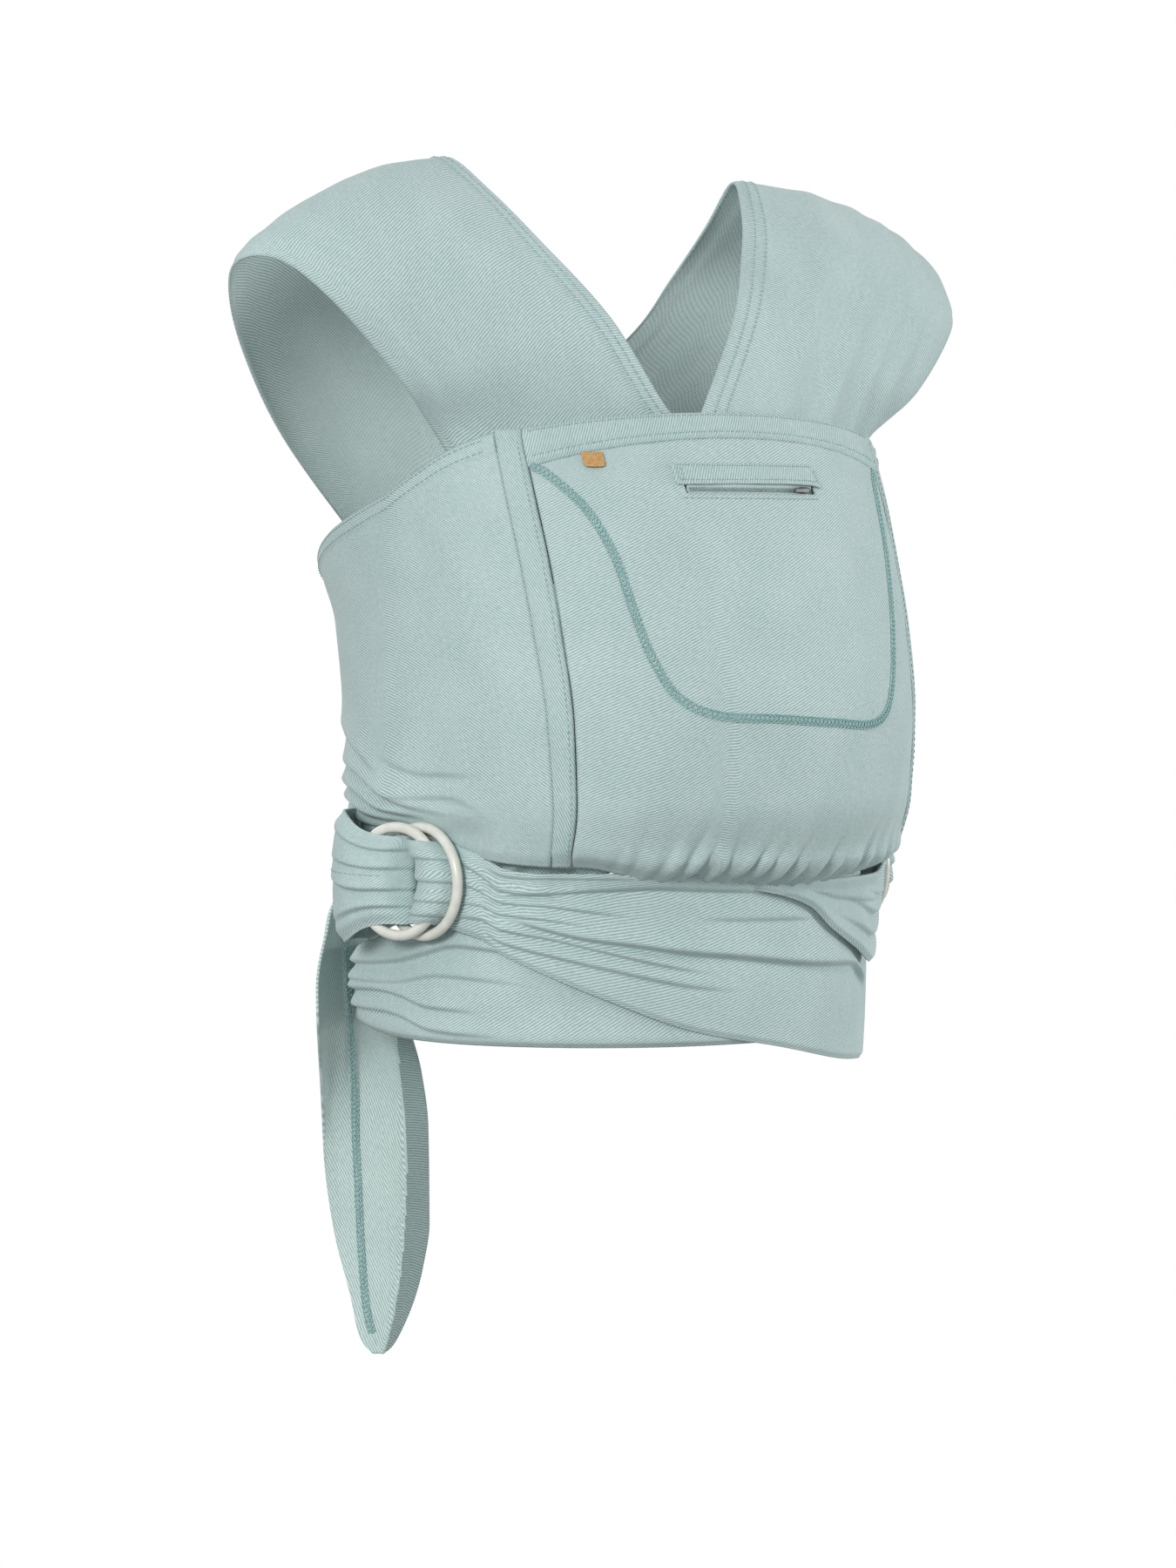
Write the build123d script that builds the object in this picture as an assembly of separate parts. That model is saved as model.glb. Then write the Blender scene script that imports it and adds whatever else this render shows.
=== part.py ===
from build123d import *
import os
from math import atan2, cos, degrees, hypot, radians, sin, sqrt

os.makedirs("parts", exist_ok=True)

# Baby wrap carrier, worn shape. Units are millimetres.
# +Z is up, the wearer faces -Y, the wearer's right side is -X.
# The origin is on the wearer's centre line, a little below the middle of the hip rings.

# Body that the cloth lies on: height, half width, depth to the front, depth to the back.
BODY_SECTIONS = [
    (-120, 140, 116, 135),
    (-90, 142, 120, 137),
    (-40, 143, 124, 138),
    (0, 146, 128, 134),
    (20, 150, 148, 130),
    (50, 153, 163, 122),
    (90, 154, 166, 124),
    (140, 154, 155, 138),
    (175, 153.5, 142, 165),
    (200, 153, 130, 165),
    (250, 148, 102, 150),
    (300, 140, 85, 120),
]
BACK_FLATNESS = 0.35

# Cloth thickness and the height of each layer's outer face over the body surface,
# where 0 is the outer face of the front panel.
CLOTH = 2.0
STRAP_RIGHT_LIFT = -12.8
STRAP_LEFT_LIFT = -9.6
STRAP_CLOTH = 1.4
STRAP_ROWS = 43
STRAP_COLUMNS = 9
LINING_LIFT = -5.6
BAG_LIFT = -3.2
WING_RIGHT_LIFT = -5.4
WING_LEFT_LIFT = -1.4
BAND_LIFT = -6.6
FAN_LIFT = -3.2
UPPER_FAN_LIFT = 0.4

# Hip rings
RING_INNER_DIAMETER = 51.0
RING_WIRE = 5.5
RING_RADIUS = (RING_INNER_DIAMETER + RING_WIRE) / 2
HIP_ANGLE = 80.0
HIP_LIFT = -8.0
HIP_HEIGHT = 6.5
FRONT_RING = (4.0, 8.0, 3.0)
REAR_RING = (-7.0, 15.2, -5.0)

# Front panel
PANEL_TOP = 250.0
PANEL_BOTTOM = 5.0
PANEL_HALF_ANGLE_TOP = 48.0
PANEL_HALF_ANGLE_BOTTOM = 43.4
SIDE_BAND_TOP = 6.5
TOP_BAND_HEIGHT = 13.0

# Pocket in the panel, with its zip
ZIP_HEIGHT = 210.0
ZIP_HALF_ANGLE = 16.0
ZIP_SLOT = 4.6
WELT_HEIGHT = 11.5

# Waist layers
BAND_TOP = -38.0
BAND_BOTTOM = -79.0
TAIL_TOP = 22.0
TAIL_TIP = -257.0


def curve(value, knots):
    """Smooth value of a list of (position, height) pairs, without overshoot."""
    if value <= knots[0][0]:
        return knots[0][1]
    if value >= knots[-1][0]:
        return knots[-1][1]
    spans = [b[0] - a[0] for a, b in zip(knots, knots[1:])]
    slopes = [(b[1] - a[1]) / s for a, b, s in zip(knots, knots[1:], spans)]
    tangents = [slopes[0]]
    for before, after in zip(slopes, slopes[1:]):
        same = before * after > 0
        tangents.append(2 * before * after / (before + after) if same else 0.0)
    tangents.append(slopes[-1])
    i = max(k for k in range(len(spans)) if knots[k][0] <= value)
    t = (value - knots[i][0]) / spans[i]
    start, end = knots[i][1], knots[i + 1][1]
    rise = (2 * t**3 - 3 * t**2 + 1) * start + (3 * t**2 - 2 * t**3) * end
    bend = (t**3 - 2 * t**2 + t) * tangents[i] + (t**3 - t**2) * tangents[i + 1]
    return rise + spans[i] * bend


def ramp(value, start, end):
    """0 before start, 1 after end and a smooth rise between them."""
    t = min(1.0, max(0.0, (value - start) / (end - start)))
    return t * t * (3 - 2 * t)


WIDTH_KNOTS = [(s[0], s[1]) for s in BODY_SECTIONS]
FRONT_KNOTS = [(s[0], s[2]) for s in BODY_SECTIONS]
BACK_KNOTS = [(s[0], s[3]) for s in BODY_SECTIONS]


def on_body(angle, height, lift):
    """Point over the body: angle 0 is the front, -90 the wearer's right side."""
    turn = radians(angle)
    width = curve(height, WIDTH_KNOTS) + lift
    facing = cos(turn)
    if facing >= 0:
        depth = -(curve(height, FRONT_KNOTS) + lift) * facing
    else:
        fullness = 1 + BACK_FLATNESS * (1 - facing * facing)
        depth = -(curve(height, BACK_KNOTS) + lift) * facing * fullness
    return (width * sin(turn), depth, height)


def mirrored(point):
    return (-point[0], point[1], point[2])


def patch(rows, relaxed):
    """Smooth face through a grid of points; a relaxed one evens out strong bends."""
    grid = [[Vector(*point) for point in row] for row in rows]
    if relaxed:
        return Face.make_surface_from_array_of_points(grid, tol=0.1, smoothing=(1, 1, 1), max_deg=5)
    return Face.make_surface_from_array_of_points(grid, tol=0.05, min_deg=3, max_deg=3)


def slab(inner_rows, outer_rows, relaxed=False):
    """Closed solid between two grids of points that face each other."""
    inner = patch(inner_rows, relaxed)
    outer = patch(outer_rows, relaxed)
    walls = []
    for edge in inner.edges():
        facing = min(outer.edges(), key=lambda other: (other.center() - edge.center()).length)
        walls.append(Face.make_surface_from_curves(edge, facing))
    return Solid(Shell([inner, outer] + walls))


def steps(start, end, count):
    return [start + (end - start) * i / (count - 1) for i in range(count)]


def body_cloth(angles, low, high, outer_lift, thickness=CLOTH, rows=9):
    """Cloth on the body between the heights low(angle) and high(angle)."""
    lift = outer_lift if callable(outer_lift) else (lambda angle: outer_lift)
    grids = []
    for depth in (thickness, 0.0):
        grid = []
        for share in steps(0, 1, rows):
            row = []
            for angle in angles:
                height = low(angle) + share * (high(angle) - low(angle))
                row.append(on_body(angle, height, lift(angle) - depth))
            grid.append(row)
        grids.append(grid)
    return slab(*grids)


def flipped(solid):
    """The same piece on the wearer's other side."""
    return solid.mirror(Plane.YZ)


def save(name, *solids):
    shape = solids[0] if len(solids) == 1 else Compound(children=list(solids))
    export_step(shape, f"parts/{name}.step")


# ---- shoulder straps -------------------------------------------------------

# Each station is (inner edge, middle, outer edge) across the strap.
SHOULDER_FRONT_RIGHT = [
    ((-56, -74, 299), (-112, -68, 284), (-164, -42, 263)),
    ((-80, -42, 341), (-142, -49, 330), (-200, -36, 304)),
    ((-94, -16, 368), (-161, -22, 361), (-222, -16, 328)),
    ((-103, 10, 386), (-169, 12, 371), (-234, 10, 329)),
]
SHOULDER_FRONT_LEFT = [
    ((26, -68, 301), (104, -67, 284), (170, -41, 263)),
    ((52, -39, 337), (134, -49, 327), (202, -33, 300)),
    ((66, -20, 360), (150, -22, 356), (216, -14, 318)),
    ((81, 10, 382), (158, 12, 371), (222, 10, 338)),
]
SHOULDER_BACK = [
    ((-81, 36, 358), (-156, 42, 349), (-225, 34, 312)),
    ((-78, 66, 330), (-142, 74, 314), (-199, 64, 283)),
    ((-69, 94, 299), (-117, 106, 271), (-157, 95, 239)),
]
STRAP_BACK_ON_BODY = [
    ((-170, 244), (-158, 212), (-148, 176)),
    ((-188, 190), (-180, 150), (-171, 108)),
    ((-212, 122), (-206, 82), (-200, 42)),
    ((-236, 52), (-236, 22), (-236, -8)),
]
STRAP_FRONT_ON_BODY = [
    ((60, 26), (60, 4), (60, -18)),
    ((38, 165), (28, 100), (20, 35)),
    ((14, 222), (-8, 172), (-28, 112)),
]
STRAP_AT_PANEL_TOP_RIGHT = ((-11, 247), (-38, 243), (-72, 232))
STRAP_AT_PANEL_TOP_LEFT = ((5, 250), (-36, 243), (-74, 228))


def catmull(before, start, end, after, t):
    """Point between start and end on a curve through all four points."""
    result = []
    for p, a, b, n in zip(before, start, end, after):
        slope_in = (b - p) / 2
        slope_out = (n - a) / 2
        value = (2 * t**3 - 3 * t**2 + 1) * a + (t**3 - 2 * t**2 + t) * slope_in
        value += (3 * t**2 - 2 * t**3) * b + (t**3 - t**2) * slope_out
        result.append(value)
    return tuple(result)


def refined(line, parts, before=None, after=None):
    """Points on a smooth curve through the points of a line and its neighbours."""
    first = before or tuple(2 * a - b for a, b in zip(line[0], line[1]))
    last = after or tuple(2 * a - b for a, b in zip(line[-1], line[-2]))
    padded = [first] + list(line) + [last]
    points = []
    for i in range(len(line) - 1):
        for k in range(parts):
            points.append(catmull(*padded[i:i + 4], k / parts))
    return points + [tuple(line[-1])]


def bent(station, share):
    """Point of a (first edge, middle, last edge) station at one share of its width."""
    weights = (2 * (share - 0.5) * (share - 1), 4 * share * (1 - share), 2 * share * (share - 0.5))
    return tuple(sum(w * value for w, value in zip(weights, values)) for values in zip(*station))


def across(station):
    """Points across a strap, bent over its middle point."""
    return [bent(station, share) for share in steps(0, 1, STRAP_COLUMNS)]


def body_rows(stations, lift, side, parts=12):
    """Grid of a strap where it lies on the body, through its (angle, height) stations."""
    columns = []
    for share in steps(0, 1, STRAP_COLUMNS):
        line = [bent(station, share) for station in stations]
        columns.append([on_body(side * a, z, lift) for a, z in refined(line, parts)])
    return [list(row) for row in zip(*columns)]


def evenly(line, count):
    """Points at even distances along a line of points."""
    lengths = [0.0]
    for start, end in zip(line, line[1:]):
        lengths.append(lengths[-1] + (Vector(*end) - Vector(*start)).length)
    points = []
    for wanted in steps(0, lengths[-1], count):
        i = max(k for k in range(len(line) - 1) if lengths[k] <= wanted + 1e-9)
        share = (wanted - lengths[i]) / (lengths[i + 1] - lengths[i])
        points.append(tuple(a + (b - a) * share for a, b in zip(line[i], line[i + 1])))
    return points


def strap_rows(shoulder_front, at_panel, side, lift):
    """Grid of one strap from the front hip over the shoulder to the back hip."""
    middle = lift - STRAP_CLOTH / 2
    front = body_rows(STRAP_FRONT_ON_BODY + [at_panel], middle, side)
    back = body_rows(STRAP_BACK_ON_BODY, middle, side)
    free = [front[-1]] + [across(station) for station in shoulder_front]
    for station in SHOULDER_BACK:
        points = station if side > 0 else [mirrored(p) for p in station]
        free.append(across(points))
    free.append(back[0])
    columns = []
    for i, column in enumerate(zip(*free)):
        free_line = refined(list(column), 8, front[-6][i], back[5][i])
        whole = [row[i] for row in front[:-1]] + free_line + [row[i] for row in back[1:]]
        columns.append(evenly(whole, STRAP_ROWS))
    return [list(row) for row in zip(*columns)]


def normal_at(rows, i, k):
    """Unit normal of a grid at one of its points."""
    up = Vector(*rows[min(i + 1, len(rows) - 1)][k]) - Vector(*rows[max(i - 1, 0)][k])
    side = Vector(*rows[i][min(k + 1, len(rows[i]) - 1)]) - Vector(*rows[i][max(k - 1, 0)])
    return up.cross(side).normalized()


def offset_rows(rows, distance):
    moved = []
    for i, row in enumerate(rows):
        line = []
        for k, point in enumerate(row):
            spot = Vector(*point) + normal_at(rows, i, k) * distance
            line.append((spot.X, spot.Y, spot.Z))
        moved.append(line)
    return moved


def cloth_on(rows, near, far):
    """Cloth between two distances from a grid, measured along its normals."""
    return slab(offset_rows(rows, near), offset_rows(rows, far), relaxed=True)


def edge_strip(rows, width_share):
    """Grid of the strip next to the first edge of a grid."""
    strip = []
    for row in rows:
        inner, second = Vector(*row[0]), Vector(*row[1])
        points = [inner + (second - inner) * (width_share * share) for share in steps(0, 1, 4)]
        strip.append([(p.X, p.Y, p.Z) for p in points])
    return strip


def make_straps():
    sides = (
        ("right", 1, SHOULDER_FRONT_RIGHT, STRAP_AT_PANEL_TOP_RIGHT, STRAP_RIGHT_LIFT),
        ("left", -1, SHOULDER_FRONT_LEFT, STRAP_AT_PANEL_TOP_LEFT, STRAP_LEFT_LIFT),
    )
    for name, side, front, at_panel, lift in sides:
        rows = strap_rows(front, at_panel, side, lift)
        save(f"strap_{name}_shoulder", cloth_on(rows, -STRAP_CLOTH / 2, STRAP_CLOTH / 2))
        hem = edge_strip(rows[13:28], 0.75)
        outward = side * (STRAP_CLOTH / 2 + 0.8)
        save(f"strap_{name}_neck_hem", cloth_on(hem, outward, outward + side * 0.9))


# ---- front panel -----------------------------------------------------------


def panel_top(angle):
    return PANEL_TOP - 0.004 * angle**2


def panel_seam(angle):
    return panel_top(angle) - TOP_BAND_HEIGHT - 0.003 * angle**2


def panel_bottom(angle):
    return PANEL_BOTTOM + 0.005 * angle**2


def panel_lean(height):
    """How far the panel's sides lean in at one height, as a share of their angle."""
    drop = (PANEL_TOP - height) / (PANEL_TOP - PANEL_BOTTOM)
    return 1 + drop * (PANEL_HALF_ANGLE_BOTTOM / PANEL_HALF_ANGLE_TOP - 1)


def panel_cloth(start, end, low, high, lift, thickness, columns=17):
    """Cloth of the panel: its sides lean in towards the bottom with the panel."""
    grids = []
    for depth in (thickness, 0.0):
        grid = []
        for share in steps(0, 1, 15):
            row = []
            for angle in steps(start, end, columns):
                height = low(angle) + share * (high(angle) - low(angle))
                row.append(on_body(angle * panel_lean(height), height, lift - depth))
            grid.append(row)
        grids.append(grid)
    return slab(*grids)


def slot_cutter():
    """Block that opens the zip's slot in the panel."""
    low = ZIP_HEIGHT - ZIP_SLOT / 2
    half_width = on_body(ZIP_HALF_ANGLE, ZIP_HEIGHT, 0)[0]
    return Box(2 * half_width, 60, ZIP_SLOT, align=(Align.CENTER, Align.MAX, Align.MIN)).moved(
        Location((0, -95, low))
    )


def make_panel():
    edge = PANEL_HALF_ANGLE_TOP
    face = panel_cloth(-edge + 0.2, edge - 0.2, panel_bottom, lambda a: panel_seam(a) - 0.3, 0.0, CLOTH)
    save("front_panel", (face - slot_cutter()).solid())
    lining = panel_cloth(-edge + 3, edge - 3, lambda a: 26.0, lambda a: panel_top(a) - 4, LINING_LIFT, 1.3)
    save("front_panel_lining", lining)
    band = panel_cloth(-edge, edge, panel_seam, panel_top, 0.6, 2.6, columns=25)
    save("panel_top_band", band)
    gap = 0.3
    for name, side in (("right", -1), ("left", 1)):
        start = edge + gap
        stop = edge + SIDE_BAND_TOP
        strip = panel_cloth(start, stop, panel_bottom, panel_top, 0.4, 2.4, columns=5)
        save(f"panel_side_band_{name}", strip if side > 0 else flipped(strip))


# ---- pocket ----------------------------------------------------------------

# Route of the pocket's seam on the panel: angle and height.
POCKET_ROUTE = [
    (-44, 217), (-38, 200), (-34.5, 176), (-33, 148), (-31, 124), (-27, 104), (-19, 94.5),
    (-6, 92.5), (8, 90), (17, 89), (23, 96), (26.5, 116), (31, 146), (35, 175), (39, 203), (41, 214),
]
STITCH_WIDTH = 6.0


def pocket_route_points():
    flat = [(angle, height, 0.0) for angle, height in POCKET_ROUTE]
    return [(p[0], p[1]) for p in refined(flat, 4)]


def stitch_band(route, width, lift, thickness, place):
    """Raised band of thread along a route of (angle, height) pairs."""
    grids = []
    for depth in (0.0, thickness):
        grid = []
        for i, (angle, height) in enumerate(route):
            ahead = route[min(i + 1, len(route) - 1)]
            behind = route[max(i - 1, 0)]
            here = Vector(*place(angle, height, 0))
            along = Vector(*place(*ahead, 0)) - Vector(*place(*behind, 0))
            out = (Vector(*place(angle, height, 5)) - here).normalized()
            side = along.cross(out).normalized()
            line = []
            for share in (-0.5, -0.17, 0.17, 0.5):
                spot = here + side * (share * width) + out * (lift + depth)
                line.append((spot.X, spot.Y, spot.Z))
            grid.append(line)
        grids.append(grid)
    return slab(*grids)


def inside_route(height, side):
    """Angle of the pocket's seam at one height, on one side of its middle."""
    near = [p for p in pocket_route_points() if p[0] * side > 4 * side]
    return min(near, key=lambda p: abs(p[1] - height))[0]


def zip_arc():
    """Centre and radius of the level arc that the zip runs on."""
    width = curve(ZIP_HEIGHT, WIDTH_KNOTS)
    depth = curve(ZIP_HEIGHT, FRONT_KNOTS)
    radius = width**2 / depth
    return radius - depth, radius


def zip_strip(half_angle, low, high, inner, outer):
    """Curved strip on the zip's arc, between two lifts from it."""
    centre, radius = zip_arc()
    blank = Cylinder(radius + outer, high - low, align=(Align.CENTER, Align.CENTER, Align.MIN))
    core = Cylinder(radius + inner, high - low, align=(Align.CENTER, Align.CENTER, Align.MIN))
    far = radius * 1.2
    angle = radians(half_angle)
    corners = [(0, 0), (-far * sin(angle), -far * cos(angle)), (far * sin(angle), -far * cos(angle))]
    wedge = extrude(make_face(Polyline(*corners, close=True)), high - low)
    return ((blank - core) & wedge).moved(Location((0, centre, low))).solid()


def zip_slider():
    """Slider on the zip at its closed end, with a short pull tab."""
    centre, radius = zip_arc()
    body = Box(7, 1.5, 3.2)
    pull = Box(9, 0.7, 2.2).moved(Location((-3.5, -1.5, 0)))
    neck = Box(1.4, 1.2, 1.4).moved(Location((-1.0, -1.0, 0)))
    slider = (body + neck + pull).moved(Location((0, -radius - 0.4, 0)))
    turn = degrees(atan2(on_body(ZIP_HALF_ANGLE - 2.6, ZIP_HEIGHT, 0)[0], radius))
    return slider.rotate(Axis.Z, turn).moved(Location((0, centre, ZIP_HEIGHT)))


def make_pocket():
    route = pocket_route_points()
    save("pocket_cover_stitch", stitch_band(route, STITCH_WIDTH, 1.0, 0.8, on_body))
    rows = []
    for depth in (1.8, 0.0):
        grid = []
        for height in steps(98, 226, 10):
            left = inside_route(height, -1)
            right = inside_route(height, 1)
            grid.append([on_body(a, height, BAG_LIFT - depth) for a in steps(left + 2, right - 2, 13)])
        rows.append(grid)
    save("pocket_bag", slab(*rows))
    low = ZIP_HEIGHT + ZIP_SLOT / 2 - 0.3
    welt = body_cloth(
        steps(-ZIP_HALF_ANGLE - 1.5, ZIP_HALF_ANGLE + 1.5, 11),
        lambda angle: low,
        lambda angle: low + WELT_HEIGHT,
        2.4, 1.4, rows=5,
    )
    save("pocket_welt", welt)
    tape_half = degrees(atan2(on_body(ZIP_HALF_ANGLE - 0.7, ZIP_HEIGHT, 0)[0], zip_arc()[1]))
    tape = zip_strip(tape_half, ZIP_HEIGHT - 2.1, ZIP_HEIGHT + 2.1, -1.7, -1.3)
    save("pocket_zip_tape", tape)
    teeth = zip_strip(tape_half, ZIP_HEIGHT - 0.8, ZIP_HEIGHT + 0.8, -1.2, -0.5)
    save("pocket_zip_teeth", teeth)
    save("pocket_zip_slider", zip_slider().solid())


def make_tab():
    """Small folded tab that hangs from the seam under the top band."""
    angles = steps(-35.3, -31.2, 5)
    top = panel_seam(-33) - 0.4
    tab = body_cloth(angles, lambda a: top - 7.2, lambda a: top, 2.2, 1.4, rows=4)
    save("side_tab", tab)


# ---- side wings ------------------------------------------------------------


def wing_top(angle):
    return curve(angle, [(50, 242), (68, 230), (83, 216), (100, 199), (115, 186), (150, 152), (200, 128)])


def wing_bottom(angle):
    return curve(angle, [(47, 15), (60, 23), (70, 38), (76, 40.5), (112, 40.5), (150, 28), (200, 22)])


def wing_lift(base):
    return lambda angle: base + (-0.4 - base) * (1 - ramp(angle, 54.8, 80))


def front_edge(height):
    """Angle where a wing meets the panel's side band."""
    return (PANEL_HALF_ANGLE_TOP + SIDE_BAND_TOP) * panel_lean(height) + 0.2


def wing_solid(base_lift, low, high, thickness, lift_add=0.0, rows=11):
    """Side wing from the panel's side band round to the back."""
    grids = []
    lift = wing_lift(base_lift)
    for depth in (thickness, 0.0):
        grid = []
        for share in steps(0, 1, rows):
            row = []
            for turn in steps(0, 1, 29):
                angle = 54 + turn * (203 - 54)
                height = low(angle) + share * (high(angle) - low(angle))
                angle += (front_edge(height) - 54) * (1 - turn)
                row.append(on_body(angle, height, lift(angle) + lift_add - depth))
            grid.append(row)
        grids.append(grid)
    return slab(*grids)


def make_wings():
    for name, base in (("right", WING_RIGHT_LIFT), ("left", WING_LEFT_LIFT)):
        wing = wing_solid(base, wing_bottom, wing_top, CLOTH)
        binding = wing_solid(base, lambda a: wing_top(a) - 9, lambda a: wing_top(a) - 0.3, 0.7, 1.5, rows=4)
        side = (lambda solid: solid) if name == "left" else flipped
        save(f"wing_{name}", side(wing))
        save(f"wing_{name}_binding", side(binding))


# ---- hip rings and the cloth through them ----------------------------------


def hip_frame():
    """Point and directions at the right hip: forward along the body, out, up."""
    base = Vector(*on_body(-HIP_ANGLE, 0, HIP_LIFT)) + Vector(0, 0, HIP_HEIGHT)
    ahead = Vector(*on_body(-HIP_ANGLE + 1, 0, HIP_LIFT)) - Vector(*on_body(-HIP_ANGLE - 1, 0, HIP_LIFT))
    ahead = ahead.normalized()
    out = ahead.cross(Vector(0, 0, -1)).normalized()
    return base, ahead, out if out.X < 0 else out * -1


def at_hip(along, away, height):
    base, ahead, out = hip_frame()
    spot = base + ahead * along + out * away + Vector(0, 0, height)
    return (spot.X, spot.Y, spot.Z)


def hip_ring(place):
    """One ring: place is its distance along the hip, its height off it and its tilt."""
    along, away, tilt = place
    base, ahead, out = hip_frame()
    axis = out * cos(radians(tilt)) - ahead * sin(radians(tilt))
    centre = Vector(*at_hip(along, away, 0))
    return Torus(RING_RADIUS, RING_WIRE / 2).moved(Location(Plane(origin=centre, z_dir=axis)))


def arc_shift(height):
    """How far a ring's arc turns back at one height from the ring's centre line."""
    return sqrt(RING_RADIUS**2 - height**2) - RING_RADIUS


def hip_ribbon(path, half_height, thickness, hugging, relaxed):
    """Cloth ribbon along a path of (along, away) pairs at the hip."""
    line = [(p[0], p[1]) for p in refined([(a, b, 0.0) for a, b in path], 4)]
    grids = []
    for side in (-0.5, 0.5):
        grid = []
        for i, (along, away) in enumerate(line):
            ahead, behind = line[min(i + 1, len(line) - 1)], line[max(i - 1, 0)]
            run, rise = ahead[0] - behind[0], ahead[1] - behind[1]
            length = hypot(run, rise)
            u = along - rise / length * thickness * side
            w = away + run / length * thickness * side
            reach = half_height(along)
            row = []
            for height in steps(-reach, reach, 9):
                row.append(at_hip(u + hugging(along) * arc_shift(height), w, height))
            grid.append(row)
        grids.append(grid)
    return slab(*grids, relaxed=relaxed)


# Routes of the cloth at the hip: distance along the hip and away from it.
TONGUE_PATH = [
    (4, 0.5), (8.5, 4), (11.5, 10), (14.5, 15), (20.5, 18),
    (25.6, 15.6), (27.4, 10), (29.5, 4.2), (35, 3.2), (41, 0.8),
]
ANCHOR_PATH = [
    (-68, -20), (-69.5, -10), (-65, 2), (-57, 12), (-47, 19.5), (-36, 23.5), (-25, 22), (-16.5, 16),
    (-12.3, 8.6), (-15.5, 2.5), (-24, 0.2), (-38, -4), (-52, -10), (-62, -17),
]


def tongue():
    return hip_ribbon(TONGUE_PATH, lambda s: 18.0, 1.8, lambda s: 1.06 - ramp(s, 33, 41) * 0.6, True)


def anchor_loop():
    return hip_ribbon(ANCHOR_PATH, lambda s: 17.5 + 8.5 * ramp(-s, 14, 40), 2.2, lambda s: 0.0, False)


def make_hips():
    pieces = {
        "ring_{}_front": hip_ring(FRONT_RING),
        "ring_{}_rear": hip_ring(REAR_RING),
        "ring_tongue_{}": tongue(),
        "anchor_loop_{}": anchor_loop(),
    }
    for pattern, piece in pieces.items():
        solid = piece.solid()
        save(pattern.format("right"), solid)
        save(pattern.format("left"), flipped(solid))


# ---- waist -----------------------------------------------------------------


def fan_low(angle):
    return curve(angle, [(-62, -27), (-47, -40), (-33, -54), (-13, -71), (6, -81), (40, -95), (78, -99)])


def fan_high(angle):
    return curve(angle, [(-62, 16), (-50, 12.5), (0, 13), (38, 8), (52, -22), (60, -34), (78, -37)])


def upper_fan_low(angle):
    return curve(angle, [(6, 0.5), (16, -10), (30, -22), (50, -29), (62, -26)])


def upper_fan_high(angle):
    return curve(angle, [(6, 4.2), (46, 4.4), (62, 14)])


def make_waist():
    band = body_cloth(
        steps(-100, 254, 61), lambda a: BAND_BOTTOM, lambda a: BAND_TOP, BAND_LIFT, rows=6
    )
    save("waist_band", band)
    fan = body_cloth(steps(-61.5, 78, 33), fan_low, fan_high, FAN_LIFT, rows=8)
    save("waist_fan_right", fan)
    upper = body_cloth(steps(6, 61.5, 15), upper_fan_low, upper_fan_high, UPPER_FAN_LIFT, rows=6)
    save("waist_fan_left", upper)
    loop = body_cloth(steps(165, 195, 7), lambda a: 156.0, lambda a: 200.0, -6.4, 1.6, rows=5)
    save("back_cross_loop", loop)


# ---- hanging tail ----------------------------------------------------------

TAIL_FRONT_EDGE = [
    (-257, -148.5), (-248, -144.5), (-228, -139), (-201, -132), (-171, -126), (-142, -121.5), (-106, -119),
    (-80, -119), (-30, -122), (8, -128),
]
TAIL_SEAM = [(-257, -151), (-230, -146), (-200, -143.5), (-161, -142), (-98, -138), (-31, -135), (8, -136)]
TAIL_BACK_EDGE = [
    (-257, -153.5), (-246, -159), (-230, -164), (-214, -166.5), (-190, -168), (-139, -166.5), (-110, -163),
    (-86, -159), (-45, -155), (8, -150),
]
TAIL_SHAPE_HEIGHT = -60.0


def tail_point(angle, height, lift):
    """Point of the tail, which curls away from the hip at its front edge."""
    curl = 9.0 * ramp(angle, -140, -119) * ramp(-height, -8, 60)
    x, y, _ = on_body(angle, TAIL_SHAPE_HEIGHT, lift + curl)
    return (x, y, height)


def tail_panel(first, last, trim):
    grids = []
    for lift in (2.2, 4.2):
        grid = []
        for height in steps(TAIL_TIP, TAIL_TOP, 25):
            start = curve(height, first) + trim[0]
            end = curve(height, last) + trim[1]
            grid.append([tail_point(angle, height, lift) for angle in steps(start, end, 9)])
        grids.append(grid)
    return slab(*grids)


def make_tail():
    save("tail_front_panel", tail_panel(TAIL_FRONT_EDGE, TAIL_SEAM, (0.0, 0.1)))
    save("tail_back_panel", tail_panel(TAIL_SEAM, TAIL_BACK_EDGE, (-0.1, 0.0)))
    route = [(curve(height, TAIL_SEAM), height) for height in steps(-244, 4, 28)]
    save("tail_cover_stitch", stitch_band(route, 4.5, 5.1, 0.8, tail_point))


make_straps()
make_panel()
make_pocket()
make_tab()
make_wings()
make_hips()
make_waist()
make_tail()
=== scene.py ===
import bmesh
import bpy
import numpy as np
from mathutils import Matrix, Vector


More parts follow.
